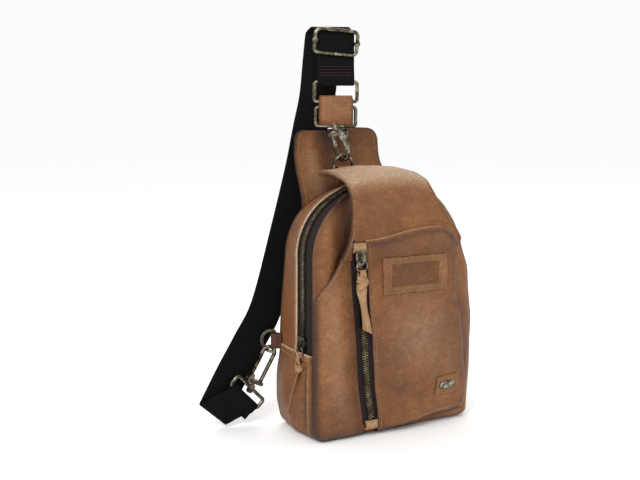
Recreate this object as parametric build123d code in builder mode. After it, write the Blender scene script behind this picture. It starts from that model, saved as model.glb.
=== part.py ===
from build123d import *
import math
import os

os.makedirs("parts", exist_ok=True)

# A leather sling bag standing on its flat base. Millimetres, +Z up, the front faces -Y, and the
# origin is the centre of the base on the surface that the bag stands on.

# ---- Driving dimensions ----
half_width = 96.0            # outside of the gusset, each side
top_height = 262.0           # crown of the gusset
shoulder_height = 186.0      # where the straight sides turn into the arch
shoulder_turn = 55.0         # degrees turned by each shoulder arc
base_corner = 22.0           # radius of the two lower corners
leather = 2.5                # body leather with its turned edges
zip_end_height = 88.0        # lower end of the main zip, where the lower gusset begins

back_y = 40.0                # outer face of the back panel
gusset_back_y = 37.0
foam_front_y = 33.0
gusset_front_y = -1.0        # cut edge of the rear gusset, along the main zip
front_join_y = -34.0         # where the front panel's turned side begins
front_y = -43.0              # outer face of the inner front panel
overlay_y = front_y - leather

tape_thickness = 0.8
tape_inset = leather + tape_thickness
chain_y = -14.0              # centre line of the main zip
tape_gap = 0.8               # half the gap between the two tapes
tooth_pitch = 4.0
tooth_width = 1.6
tooth_height = 2.1

webbing_width = 38.0
webbing_thickness = 1.8
wire = 2.0                   # radius of the strap hardware's wire

# Derived arch: two shoulder arcs and a flatter crown arc, all tangent.
turn = math.radians(shoulder_turn)
arch_rise = top_height - shoulder_height
crown_factor = 1 / math.cos(turn) - math.tan(turn)
shoulder_radius = (arch_rise - half_width * crown_factor) / (1 - crown_factor)
shoulder_x = half_width - shoulder_radius
crown_radius = shoulder_radius + shoulder_x / math.cos(turn)
crown_z = shoulder_height - shoulder_x * math.tan(turn)


def at_y(y):
    """Vertical sketch plane facing -Y, so that extruding goes towards the front."""
    return Plane.XZ.offset(-y)


def arch(inset=0.0):
    """The bag's arched outline, moved inwards by inset, as a flat sketch."""
    with BuildSketch() as outline:
        with BuildLine():
            CenterArc((0, crown_z), crown_radius - inset, shoulder_turn, 180 - 2 * shoulder_turn)
            for side in (-1, 1):
                start = 180 - shoulder_turn if side < 0 else 0
                CenterArc((side * shoulder_x, shoulder_height), shoulder_radius - inset, start, shoulder_turn)
                edge = side * (half_width - inset)
                Line((edge, shoulder_height), (edge, base_corner))
                corner_start = 180 if side < 0 else 270
                corner_x = side * (half_width - base_corner)
                CenterArc((corner_x, base_corner), base_corner - inset, corner_start, 90)
            Line((base_corner - half_width, inset), (half_width - base_corner, inset))
        make_face()
    return outline.sketch


def arch_ring(inset_out, inset_in):
    """The space between two inset copies of the arched outline."""
    with BuildSketch() as ring:
        add(arch(inset_out))
        add(arch(inset_in), mode=Mode.SUBTRACT)
    return ring.sketch


def arch_point(distance, inset):
    """Point and heading on the zip's run, by distance from its lower left end up and over."""
    straight = shoulder_height - zip_end_height
    reach = half_width - inset
    shoulder_run = (shoulder_radius - inset) * turn
    crown_run = (crown_radius - inset) * (math.pi - 2 * turn)
    if distance < straight:
        return -reach, zip_end_height + distance, 90.0
    distance -= straight
    if distance < shoulder_run:
        angle = math.pi - distance / (shoulder_radius - inset)
        x = -shoulder_x + (shoulder_radius - inset) * math.cos(angle)
        z = shoulder_height + (shoulder_radius - inset) * math.sin(angle)
        return x, z, math.degrees(angle) - 90
    distance -= shoulder_run
    if distance < crown_run:
        angle = math.pi - turn - distance / (crown_radius - inset)
        x = (crown_radius - inset) * math.cos(angle)
        z = crown_z + (crown_radius - inset) * math.sin(angle)
        return x, z, math.degrees(angle) - 90
    distance -= crown_run
    if distance < shoulder_run:
        angle = turn - distance / (shoulder_radius - inset)
        x = shoulder_x + (shoulder_radius - inset) * math.cos(angle)
        z = shoulder_height + (shoulder_radius - inset) * math.sin(angle)
        return x, z, math.degrees(angle) - 90
    distance -= shoulder_run
    return reach, shoulder_height - distance, -90.0


def ribbon(points, thickness):
    """Closed outline of a strip of even thickness along a line of points, with mitred corners."""
    sides = []
    for sign in (1, -1):
        side = []
        for i, (x, y) in enumerate(points):
            before = points[max(i - 1, 0)]
            after = points[min(i + 1, len(points) - 1)]
            normals = []
            for a, b in ((before, (x, y)), ((x, y), after)):
                length = math.hypot(b[0] - a[0], b[1] - a[1])
                if length > 0:
                    normals.append(((a[1] - b[1]) / length, (b[0] - a[0]) / length))
            nx = sum(n[0] for n in normals) / len(normals)
            ny = sum(n[1] for n in normals) / len(normals)
            scale = sign * thickness / 2 / (nx * nx + ny * ny)
            side.append((x + nx * scale, y + ny * scale))
        sides.append(side)
    return sides[0] + sides[1][::-1]


# ---- Leather body ----
with BuildPart() as back_panel:
    with BuildSketch(at_y(back_y)):
        add(arch(0))
    extrude(amount=back_y - gusset_back_y)
back_panel.part.label = "back_panel"
export_step(back_panel.part, "parts/back_panel.step")

with BuildPart() as back_pad_foam:
    with BuildSketch(at_y(gusset_back_y)):
        add(arch(9))
    extrude(amount=gusset_back_y - foam_front_y)
back_pad_foam.part.label = "back_pad_foam"
export_step(back_pad_foam.part, "parts/back_pad_foam.step")

with BuildPart() as rear_gusset:
    with BuildSketch(at_y(gusset_back_y)):
        add(arch_ring(0, leather))
    extrude(amount=gusset_back_y - gusset_front_y)
    split(bisect_by=Plane.XY.offset(zip_end_height), keep=Keep.TOP)
rear_gusset.part.label = "rear_gusset"
export_step(rear_gusset.part, "parts/rear_gusset.step")

with BuildPart() as lower_gusset:
    with BuildSketch(at_y(gusset_back_y)):
        add(arch_ring(0, leather))
    extrude(amount=gusset_back_y - front_join_y)
    split(bisect_by=Plane.XY.offset(zip_end_height), keep=Keep.BOTTOM)
lower_gusset.part.label = "lower_gusset"
export_step(lower_gusset.part, "parts/lower_gusset.step")

front_taper = 20             # the front panel's turned side leans in towards the front
with BuildPart() as front_panel:
    with BuildSketch(at_y(front_join_y)):
        add(arch(0))
    extrude(amount=front_join_y - front_y, taper=front_taper)
    with BuildSketch(at_y(front_join_y)):
        add(arch(leather))
    extrude(amount=front_join_y - front_y - leather, taper=front_taper, mode=Mode.SUBTRACT)
front_panel.part.label = "front_panel"
export_step(front_panel.part, "parts/front_panel.step")

lining_out = 4.2
lining_in = 5.0
lining_back_y = 32.0
lining_front_y = -37.0
lining_split = 78.0          # above this the lining is open along the zip
with BuildPart() as main_lining:
    with BuildSketch(at_y(lining_back_y)):
        add(arch_ring(lining_out, lining_in))
    extrude(amount=lining_back_y - lining_front_y)
    with BuildSketch(Plane.YZ.offset(-half_width)):
        with Locations(((chain_y, (top_height + lining_split) / 2))):
            Rectangle(26, top_height - lining_split)
    extrude(amount=2 * half_width, mode=Mode.SUBTRACT)
    with BuildSketch(at_y(lining_back_y + 0.8)):
        add(arch(lining_out))
    extrude(amount=lining_back_y + 0.8 - lining_back_y)
    with BuildSketch(at_y(lining_front_y)):
        add(arch(lining_out))
    extrude(amount=lining_front_y - (lining_front_y - 0.8))
main_lining.part.label = "main_lining"
export_step(main_lining.part, "parts/main_lining.step")

with BuildPart() as base_stiffener:
    with BuildSketch(Plane.XY.offset(leather)):
        RectangleRounded(2 * (half_width - base_corner) - 4, 60, 8)
    extrude(amount=1.4)
base_stiffener.part.label = "base_stiffener"
export_step(base_stiffener.part, "parts/base_stiffener.step")

# Slip pocket sewn to the lining inside, open at its top.
slip_back_y = lining_back_y
with BuildPart() as inner_slip_pocket:
    with BuildSketch(Plane.XY.offset(70)):
        with Locations((0, slip_back_y - 3.5)):
            Rectangle(120, 7)
        with Locations((0, slip_back_y - 2.6)):
            Rectangle(118.4, 5.6, mode=Mode.SUBTRACT)
    extrude(amount=90)
    with BuildSketch(Plane.XY.offset(69.2)):
        with Locations((0, slip_back_y - 3.5)):
            Rectangle(120, 7)
    extrude(amount=0.8)
inner_slip_pocket.part.label = "inner_slip_pocket"
export_step(inner_slip_pocket.part, "parts/inner_slip_pocket.step")

# ---- Pocket zip line, leaning a little on the front ----
pocket_lean = math.radians(4.05)
pocket_top = (-50.2, 200.0)
pocket_run = 172.0           # length of the pocket's chain
pocket_zip = Plane(
    origin=(pocket_top[0], front_y, pocket_top[1]),
    x_dir=(math.cos(pocket_lean), 0, math.sin(pocket_lean)),
    z_dir=(0, -1, 0),
)                            # its y runs up the zip and its z stands out of the front
zip_margin = 8.0             # from the chain's centre to the leather each side


def pocket_x(z, side):
    """Edge of the leather beside the pocket zip at height z."""
    return pocket_top[0] + (pocket_top[1] - z) * math.tan(pocket_lean) + side * zip_margin


# ---- Front overlays ----
with BuildPart() as front_left_panel:
    with BuildSketch(at_y(front_y)):
        add(arch(1.0))
        with BuildLine():
            Polyline(
                (-half_width, base_corner - 20), (-half_width, 150), (-71, 184),
                (pocket_x(186, -1), 186), (pocket_x(2, -1), 2), close=True,
            )
        make_face(mode=Mode.INTERSECT)
    extrude(amount=leather)
front_left_panel.part.label = "front_left_panel"
export_step(front_left_panel.part, "parts/front_left_panel.step")

pocket_right = 73.0
with BuildPart() as front_right_panel:
    with BuildSketch(at_y(front_y)):
        add(arch(1.0))
        with Locations((pocket_right + 15.3, 103)):
            Rectangle(30, 206, mode=Mode.INTERSECT)
    extrude(amount=leather)
front_right_panel.part.label = "front_right_panel"
export_step(front_right_panel.part, "parts/front_right_panel.step")

# The yoke lies on the front, then stands off the zip and bridges over the top of the bag.
yoke_profile = [
    (overlay_y + 1.25, 186.4), (overlay_y + 0.9, 252), (overlay_y + 1.0, 260), (-40, 266),
    (-26, 271), (-8, 273.6), (14, 273.6), (34, 269.8), (44, 263.5), (45.4, 252),
]
with BuildPart() as yoke:
    with BuildSketch(Plane.YZ.offset(-half_width)):
        with BuildLine():
            Polyline(*ribbon(yoke_profile, leather), close=True)
        make_face()
    extrude(amount=2 * half_width)
    with BuildSketch(at_y(60)):
        with BuildLine():
            Polyline(
                (-71, 186.4), (-63, 203), (-59, 222), (-59, 242), (-57, 262), (-48, 275), (46, 275),
                (54, 262), (70, 242), (86, 212), (88, 206.6), (pocket_x(206.6, 1), 206.6),
                (pocket_x(203.4, 1), 203.4), (pocket_x(203.4, -1), 203.4), (pocket_x(186, -1), 186.4),
                close=True,
            )
        make_face()
    extrude(amount=120, mode=Mode.INTERSECT)
yoke.part.label = "yoke"
export_step(yoke.part, "parts/yoke.step")

# Pocket panel: it stands further out over the belly of the bag than along the zip.
panel_profile = [(-52, -47.3), (-30, -48.4), (-14, -52.4), (56, -52.4), (68, -48.2), (72, -46.9)]
with BuildPart() as pocket_panel:
    with BuildSketch(Plane.XY.offset(6)):
        with BuildLine():
            Polyline(*ribbon(panel_profile, 2.4), close=True)
        make_face()
    extrude(amount=200)
    with BuildSketch(at_y(-30)):
        with BuildLine():
            Polyline((-90, 0), (pocket_x(0, 1), 0), (pocket_x(210, 1), 210), (-90, 210), close=True)
        make_face()
    extrude(amount=40, mode=Mode.SUBTRACT)
pocket_panel.part.label = "pocket_panel"
export_step(pocket_panel.part, "parts/pocket_panel.step")

pocket_left = -14.0
pocket_inner_right = 54.0
with BuildPart() as pocket_lining:
    with BuildSketch(Plane.XY.offset(12)):
        with Locations(((pocket_left + pocket_inner_right) / 2, -47.1)):
            Rectangle(pocket_inner_right - pocket_left, 8.0)
    extrude(amount=188)
    with BuildSketch(Plane.XY.offset(12.8)):
        with Locations(((pocket_left + pocket_inner_right) / 2 - 2, -47.1)):
            Rectangle(pocket_inner_right - pocket_left + 2.4, 6.6)
    extrude(amount=186.4, mode=Mode.SUBTRACT)
pocket_lining.part.label = "pocket_lining"
export_step(pocket_lining.part, "parts/pocket_lining.step")

# Shoulder flap: rises behind the strap hook and leans back.
flap_profile = [(41.3, 214), (41.3, 228), (47, 242), (56, 262), (61, 284), (64, 309)]
with BuildPart() as neck_flap:
    with BuildSketch(Plane.YZ.offset(-66)):
        with BuildLine():
            Polyline(*ribbon(flap_profile, leather), close=True)
        make_face()
    extrude(amount=132)
    with BuildSketch(at_y(90)):
        with BuildLine():
            Polyline((-60, 210), (-64, 234), (-54, 252), (-52, 292), (-44, 312), (44, 312),
                     (52, 292), (54, 252), (64, 234), (60, 210), close=True)
        make_face()
    extrude(amount=80, mode=Mode.INTERSECT)
neck_flap.part.label = "neck_flap"
export_step(neck_flap.part, "parts/neck_flap.step")

# ---- Trim on the pocket ----
trim_y = -53.6               # outer face of the pocket panel
with BuildPart() as label_patch:
    with BuildSketch(at_y(trim_y)):
        with Locations((14, 166)):
            RectangleRounded(77, 37, 3)
    extrude(amount=1.2)
    with BuildSketch(at_y(trim_y - 1.2)):
        with Locations((14, 166)):
            RectangleRounded(60, 25, 2)
    extrude(amount=-0.6, mode=Mode.SUBTRACT)
label_patch.part.label = "label_patch"
export_step(label_patch.part, "parts/label_patch.step")

with BuildPart() as corner_tag:
    with BuildSketch(Plane.XY.offset(37)):
        with BuildLine():
            Polyline((39, trim_y), (56.2, trim_y), (66, -50.2), (66.4, -51.4), (56.4, trim_y - 1.2),
                     (39, trim_y - 1.2), close=True)
        make_face()
    extrude(amount=18)
corner_tag.part.label = "corner_tag"
export_step(corner_tag.part, "parts/corner_tag.step")

stud_y = trim_y - 1.2
with BuildPart() as corner_stud:
    with BuildSketch(at_y(stud_y)):
        with Locations((47.5, 46)):
            SlotOverall(11, 4.6)
    extrude(amount=1.4)
corner_stud.part.label = "corner_stud"
export_step(corner_stud.part, "parts/corner_stud.step")

# ---- Zips ----
# A zip's chain is two rows of teeth that alternate along one line, each row clamped to a tape.


straight_run = shoulder_height - zip_end_height
chain_start = 4.0
chain_length = 2 * straight_run + 2 * shoulder_radius * turn + crown_radius * (math.pi - 2 * turn)
main_tooth_count = int((chain_length - 22) / tooth_pitch)
tooth_reach = 5.0            # across the zip, past the centre line on one side


def main_tooth(distance, side):
    x, z, heading = arch_point(distance, leather - tooth_height / 2)
    return Location((x, chain_y + side * 0.9, z), (0, -heading, 0))


for side, name in ((1, "rear"), (-1, "front")):
    with BuildPart() as teeth:
        starts = [chain_start + (i + side / 4) * tooth_pitch for i in range(main_tooth_count)]
        with Locations(*[main_tooth(start, side) for start in starts]):
            Box(tooth_width, tooth_reach, tooth_height - 0.1)
    teeth.part.label = f"main_teeth_{name}"
    export_step(teeth.part, f"parts/main_teeth_{name}.step")

    inner_edge = chain_y + side * tape_gap
    outer_edge = 8.0 if side > 0 else front_join_y
    low_y, high_y = sorted((inner_edge, outer_edge))
    with BuildPart() as tape:
        with BuildSketch(at_y(high_y)):
            add(arch_ring(leather, tape_inset))
        extrude(amount=high_y - low_y)
        split(bisect_by=Plane.XY.offset(zip_end_height - 6), keep=Keep.TOP)
    tape.part.label = f"main_tape_{name}"
    export_step(tape.part, f"parts/main_tape_{name}.step")

pocket_tooth_count = int((pocket_run - 12) / tooth_pitch)
pocket_tape_height = 1.7     # of the tape's back face in front of the front panel


for side, name in ((-1, "left"), (1, "right")):
    with BuildPart() as teeth:
        with BuildSketch(pocket_zip.offset(pocket_tape_height + tape_thickness)):
            for i in range(pocket_tooth_count):
                with Locations((side * 0.9, -8 - (i + side / 4) * tooth_pitch)):
                    Rectangle(tooth_reach, tooth_width)
        extrude(amount=tooth_height - 0.1)
    teeth.part.label = f"pocket_teeth_{name}"
    export_step(teeth.part, f"parts/pocket_teeth_{name}.step")

    with BuildPart() as tape:
        with BuildSketch(pocket_zip.offset(pocket_tape_height)):
            with Locations((side * (tape_gap + 3.5), -pocket_run / 2)):
                Rectangle(7.0, pocket_run + 2)
        extrude(amount=tape_thickness)
    tape.part.label = f"pocket_tape_{name}"
    export_step(tape.part, f"parts/pocket_tape_{name}.step")

for height, name in ((5.6, "top"), (-pocket_run - 3.6, "bottom")):
    with BuildPart() as tab:
        with BuildSketch(pocket_zip.offset(pocket_tape_height + tape_thickness + 0.5)):
            with Locations((0, height)):
                RectangleRounded(2 * zip_margin - 1, 9, 1.2)
        extrude(amount=1.8)
    tab.part.label = f"pocket_{name}_tab"
    export_step(tab.part, f"parts/pocket_{name}_tab.step")

# Sliders. The local frame of each has x across the zip, y up it and z standing out of the tape.
slider_half = 6.0            # half width over the lips
slider_length = 14.0
main_slider_z = 98.0
main_slider_frame = Plane(
    origin=(-(half_width - leather), chain_y, main_slider_z), x_dir=(0, -1, 0), z_dir=(-1, 0, 0)
)
pocket_slider_frame = Plane(
    origin=pocket_zip.from_local_coords(Vector(0, -13, pocket_tape_height + tape_thickness)),
    x_dir=pocket_zip.x_dir, z_dir=pocket_zip.z_dir,
)
plate_gap = 3.3              # outer plate's inner face above the tape
plate_thickness = 1.2
ring_radius = 6.0
ring_wire = 1.0
pin_height = plate_gap + plate_thickness + 1.2   # centre of the pull ring's wire in the bridge
pin_up = -2.8

for name, frame in (("main", main_slider_frame), ("pocket", pocket_slider_frame)):
    with BuildPart() as slider_body:
        with BuildSketch(frame.offset(plate_gap)):
            Rectangle(2 * slider_half, slider_length)
        extrude(amount=plate_thickness)
        with BuildSketch(frame.offset(0.5)):
            for side in (-1, 1):
                with Locations((side * (slider_half - 0.7), 0)):
                    Rectangle(1.4, slider_length)
        extrude(amount=plate_gap - 0.5)
        with BuildSketch(frame.offset(-tape_thickness - 1.0)):
            RectangleRounded(2 * slider_half, slider_length, 2)
        extrude(amount=0.8)
    slider_body.part.label = f"{name}_slider_body"
    export_step(slider_body.part, f"parts/{name}_slider_body.step")

    with BuildPart() as slider_bridge:
        with BuildSketch(frame.offset(plate_gap + plate_thickness)):
            Rectangle(2.6, 11)
        extrude(amount=3.6)
        with BuildSketch(frame.offset(plate_gap + plate_thickness)):
            Rectangle(3, 8.2)
        extrude(amount=2.4, mode=Mode.SUBTRACT)
    slider_bridge.part.label = f"{name}_slider_bridge"
    export_step(slider_bridge.part, f"parts/{name}_slider_bridge.step")

    pin = frame.from_local_coords(Vector(0, pin_up, pin_height))
    ring_centre = pin - Vector(0, 0, ring_radius)
    ring_plane = Plane(origin=ring_centre, x_dir=frame.x_dir, z_dir=frame.z_dir)
    with BuildPart() as pull_ring:
        with BuildLine(ring_plane):
            CenterArc((0, 0), ring_radius, 0, 360)
        with BuildSketch(Plane(origin=ring_centre + frame.x_dir * ring_radius, z_dir=(0, 0, 1))):
            Circle(ring_wire)
        sweep()
    pull_ring.part.label = f"{name}_pull_ring"
    export_step(pull_ring.part, f"parts/{name}_pull_ring.step")

    # A leather thong loops through the ring, is knotted below it and hangs as a flat tail.
    ring_bottom = ring_centre - Vector(0, 0, ring_radius)
    tail_drop, tail_shift = (54, 16) if name == "main" else (58, 3)
    thong_plane = Plane(origin=ring_bottom, x_dir=frame.x_dir, z_dir=frame.z_dir)
    with BuildPart() as pull_thong:
        with BuildSketch(thong_plane.offset(-2.4)):
            with Locations((0, -1.6)):
                RectangleRounded(5.4, 7.4, 1.5)
            with Locations((0, -8.5)):
                RectangleRounded(8, 9, 2.5)
        extrude(amount=4.8)
        with BuildSketch(thong_plane.offset(-0.9)):
            with BuildLine():
                Polyline(
                    (-2.7, -10), (2.7, -10), (2.7 - tail_shift, 5 - tail_drop),
                    (-2.7 - tail_shift, -tail_drop), close=True,
                )
            make_face()
        extrude(amount=1.8)
        with Locations(Location(ring_plane)):
            Torus(ring_radius, ring_wire + 0.15, mode=Mode.SUBTRACT)
    pull_thong.part.label = f"{name}_pull_thong"
    export_step(pull_thong.part, f"parts/{name}_pull_thong.step")

# ---- Strap hardware ----


def wire_loop(plane, width, height, corner, radius):
    """A closed wire ring: a rounded rectangle of the given centre-line size."""
    with BuildSketch(plane) as outline:
        RectangleRounded(width, height, corner)
    path = outline.sketch.face().outer_wire()
    with BuildPart() as loop:
        with BuildSketch(Plane(origin=path @ 0, z_dir=path % 0)):
            Circle(radius)
        sweep(path=path)
    return loop.part


def d_loop(plane, half_bar, straight, corner, radius):
    """A wire D: its bar lies along the plane's x and its bow goes up the plane's y."""
    with BuildLine(plane) as outline:
        Line((corner - half_bar, 0), (half_bar - corner, 0))
        CenterArc((half_bar - corner, corner), corner, 270, 90)
        Line((half_bar, corner), (half_bar, straight))
        CenterArc((0, straight), half_bar, 0, 180)
        Line((-half_bar, straight), (-half_bar, corner))
        CenterArc((corner - half_bar, corner), corner, 180, 90)
    path = Wire(outline.edges())
    with BuildPart() as loop:
        with BuildSketch(Plane(origin=path @ 0, z_dir=path % 0)):
            Circle(radius)
        sweep(path=path)
    return loop.part


facing = math.radians(25)    # the upper strap is turned this far towards the left
across = Vector(math.cos(facing), -math.sin(facing), 0)
behind = Vector(math.sin(facing), math.cos(facing), 0)
upper_x, upper_y = -19.0, 50.0
upper_face = Plane(origin=(upper_x, upper_y, 0), x_dir=across, z_dir=-behind)

top_eye_z = 315.0            # hook side bar of the upper eye
top_eye_height = 20.0
ring_low_z, ring_high_z = 341.0, 362.0
ring_half, ring_corner = 23.0, 3.5
eye_half = 21.6
eye_corner = 3.0
d_wire = 1.75
hook_wire = 2.2
d_half_bar = 11.5
d_straight, d_corner = 4.0, 2.5

top_d_bar = Vector(-9.6, 49.5, 268)
top_link = top_d_bar + Vector(0, 0, d_straight + d_half_bar)
top_eye_centre = Vector(upper_x, upper_y, top_eye_z)
side_d_bar = Vector(-100.8, 38, 90)
side_d_out = Vector(-0.62, 0.785, 0)
side_link = side_d_bar + side_d_out * 6.5 - Vector(0, 0, d_half_bar)
side_eye_centre = Vector(-123.5, 50, 39.5)
side_eye_across = Vector(math.cos(math.radians(46.4)), 0, -math.sin(math.radians(46.4)))
side_eye_face = Plane(origin=side_eye_centre, x_dir=side_eye_across, z_dir=(0, -1, 0))
side_bar_drop = 12.0         # from the side eye's hook bar to its webbing bar

with BuildPart() as top_d_ring:
    top_d_plane = Plane(origin=top_d_bar, x_dir=(1, 0, 0), z_dir=(0, -1, 0))
    add(d_loop(top_d_plane, d_half_bar, d_straight, d_corner, d_wire))
top_d_ring.part.label = "top_d_ring"
export_step(top_d_ring.part, "parts/top_d_ring.step")

with BuildPart() as side_d_ring:
    side_d_plane = Plane(origin=side_d_bar, x_dir=(0, 0, 1), z_dir=Vector(0, 0, 1).cross(side_d_out))
    add(d_loop(side_d_plane, d_half_bar, d_straight, d_corner, d_wire))
side_d_ring.part.label = "side_d_ring"
export_step(side_d_ring.part, "parts/side_d_ring.step")

with BuildPart() as top_ring_tab:
    with BuildSketch(Plane.YZ.offset(top_d_bar.X - 8)):
        with Locations((top_d_bar.Y, top_d_bar.Z)):
            Circle(4.2)
        with Locations((48.1, 258.5)):
            Rectangle(2.2, 15)
        with Locations((top_d_bar.Y, top_d_bar.Z)):
            Circle(d_wire + 0.15, mode=Mode.SUBTRACT)
    extrude(amount=16)
top_ring_tab.part.label = "top_ring_tab"
export_step(top_ring_tab.part, "parts/top_ring_tab.step")

with BuildPart() as side_ring_tab:
    with BuildSketch(Plane.XY.offset(side_d_bar.Z - 4)):
        with Locations((side_d_bar.X, side_d_bar.Y)):
            Circle(4.2)
        with Locations((-97.3, 28)):
            Rectangle(2.4, 20)
        with Locations((side_d_bar.X, side_d_bar.Y)):
            Circle(d_wire + 0.15, mode=Mode.SUBTRACT)
    extrude(amount=12)
side_ring_tab.part.label = "side_ring_tab"
export_step(side_ring_tab.part, "parts/side_ring_tab.step")

# Each snap hook is a bent wire hook on a block, with a sprung gate between the block's ears and a
# swivel stud that turns in the boss of its eye. Its plane's y runs from the eye to the hook's tip.
hook_half = 7.0
boss_top = 3.6
block_low, block_high = 6.0, 10.0
gate_pivot = 13.2
stud_radius = 2.0
rivet_radius = 1.0


def hook_plane(eye, link, lateral):
    up = (link - eye).normalized()
    flat = (lateral - up * lateral.dot(up)).normalized()
    return Plane(origin=eye, x_dir=flat, z_dir=flat.cross(up))


hooks = (
    ("top", hook_plane(top_eye_centre, top_link, Vector(0.5, -0.866, 0)), (top_link - top_eye_centre).length,
     upper_face, top_eye_z, top_eye_height),
    ("side", hook_plane(side_eye_centre, side_link, Vector(-0.9, 0, 0.44)), (side_link - side_eye_centre).length,
     side_eye_face, 0, -side_bar_drop),
)
for name, frame, reach, eye_face, eye_low, eye_height in hooks:
    bow_centre = reach + d_wire + 1.2 - (hook_half - hook_wire)
    with BuildPart() as hook_body:
        with BuildLine(frame) as hook_line:
            Polyline((-hook_half, block_high - 1), (-hook_half, bow_centre))
            CenterArc((0, bow_centre), hook_half, 180, -180)
            Polyline((hook_half, bow_centre), (hook_half, bow_centre - 3))
        hook_path = Wire(hook_line.edges())
        with BuildSketch(Plane(origin=hook_path @ 0, z_dir=hook_path % 0)):
            Circle(hook_wire)
        sweep(path=hook_path)
        with BuildSketch(frame.offset(-4.2)):
            with Locations((0, (block_low + block_high) / 2)):
                RectangleRounded(2 * hook_half + 5, block_high - block_low, 1.2)
        extrude(amount=8.4)
        for level in (-4.2, 1.8):
            with BuildSketch(frame.offset(level)):
                with Locations((hook_half, (block_high + gate_pivot) / 2 - 1)):
                    SlotOverall(2 * 3.1 + gate_pivot - block_high + 2, 6.2, rotation=90)
                with Locations((hook_half, gate_pivot)):
                    Circle(rivet_radius, mode=Mode.SUBTRACT)
            extrude(amount=2.4)
        with BuildSketch(frame.offset(-1.8)):
            with Locations((hook_half, gate_pivot)):
                Circle(3.4)
        extrude(amount=3.6, mode=Mode.SUBTRACT)
    hook_body.part.label = f"{name}_hook_body"
    export_step(hook_body.part, f"parts/{name}_hook_body.step")

    with BuildPart() as gate:
        with BuildSketch(frame.offset(-1.6)):
            with Locations((hook_half, gate_pivot)):
                Circle(2.9)
            with Locations((hook_half, (gate_pivot + bow_centre - 3.3) / 2)):
                Rectangle(3.6, bow_centre - 3.3 - gate_pivot)
            with Locations((hook_half, gate_pivot)):
                Circle(rivet_radius + 0.05, mode=Mode.SUBTRACT)
        extrude(amount=3.2)
    gate.part.label = f"{name}_hook_gate"
    export_step(gate.part, f"parts/{name}_hook_gate.step")

    with BuildPart() as rivet:
        with BuildSketch(frame.offset(-4.2)):
            with Locations((hook_half, gate_pivot)):
                Circle(rivet_radius)
        extrude(amount=8.4)
        for level in (-5.0, 4.2):
            with BuildSketch(frame.offset(level)):
                with Locations((hook_half, gate_pivot)):
                    Circle(2.0)
            extrude(amount=0.8)
    rivet.part.label = f"{name}_hook_rivet"
    export_step(rivet.part, f"parts/{name}_hook_rivet.step")

    turned = Plane(origin=frame.origin, x_dir=frame.x_dir, z_dir=frame.y_dir)
    with BuildPart() as stud:
        with BuildSketch(turned.offset(-boss_top - 0.3)):
            Circle(stud_radius)
        extrude(amount=boss_top + 0.3 + block_low)
        with BuildSketch(turned.offset(-boss_top - 1.6)):
            Circle(stud_radius + 1.1)
        extrude(amount=1.3)
    stud.part.label = f"{name}_swivel_stud"
    export_step(stud.part, f"parts/{name}_swivel_stud.step")

    loop_plane = Plane(
        origin=eye_face.from_local_coords(Vector(0, eye_low + eye_height / 2, 0)),
        x_dir=eye_face.x_dir, z_dir=eye_face.z_dir,
    )
    with BuildPart() as eye:
        add(wire_loop(loop_plane, 2 * eye_half, abs(eye_height), eye_corner, wire))
        with BuildSketch(turned.offset(-boss_top)):
            Circle(stud_radius + 1.9)
        extrude(amount=2 * boss_top)
        with BuildSketch(turned.offset(-boss_top - 1)):
            Circle(stud_radius + 0.08)
        extrude(amount=2 * boss_top + 2, mode=Mode.SUBTRACT)
    eye.part.label = f"{name}_eye"
    export_step(eye.part, f"parts/{name}_eye.step")

with BuildPart() as strap_ring:
    ring_mid = upper_face.from_local_coords(Vector(0, (ring_low_z + ring_high_z) / 2, 0))
    ring_plane = Plane(origin=ring_mid, x_dir=across, z_dir=-behind)
    add(wire_loop(ring_plane, 2 * ring_half, ring_high_z - ring_low_z, ring_corner, wire))
strap_ring.part.label = "strap_ring"
export_step(strap_ring.part, "parts/strap_ring.step")

# Sketch plane whose x is the depth behind the strap's face and whose y is height.
upper_section = Plane(origin=(upper_x, upper_y, 0), x_dir=behind, z_dir=behind.cross(Vector(0, 0, 1)))
keeper_width = 35.0
with BuildPart() as keeper_loop:
    with BuildSketch(upper_section.offset(-keeper_width / 2)):
        with BuildLine():
            Polyline(
                (-1.9, 321.6), (1.9, 321.6), (1.9, 327), (4.5, 331.5), (4.5, 344.3), (2.8, 346.8), (-2.8, 346.8),
                (-4.5, 344.3), (-4.5, 331.5), (-1.9, 327), close=True,
            )
        make_face()
        with BuildLine():
            Polyline((-2.3, 332.5), (2.3, 332.5), (2.3, 344.4), (-2.3, 344.4), close=True)
        make_face(mode=Mode.SUBTRACT)
    extrude(amount=keeper_width)
keeper_loop.part.label = "keeper_loop"
export_step(keeper_loop.part, "parts/keeper_loop.step")

# ---- Adjuster: a wire frame in front of the webbing and a bar behind it ----
adjuster_z = 403.5
adjuster_roll = math.radians(5)
adjuster_across = across * math.cos(adjuster_roll) - Vector(0, 0, 1) * math.sin(adjuster_roll)
adjuster_face = Plane(origin=(upper_x, upper_y, adjuster_z), x_dir=adjuster_across, z_dir=-behind)
frame_out, bar_back = 3.0, 2.8
adjuster_half = 22.6
with BuildPart() as adjuster_frame:
    add(wire_loop(adjuster_face.offset(frame_out), 2 * adjuster_half, 25, 5.5, wire))
adjuster_frame.part.label = "adjuster_frame"
export_step(adjuster_frame.part, "parts/adjuster_frame.step")

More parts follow.
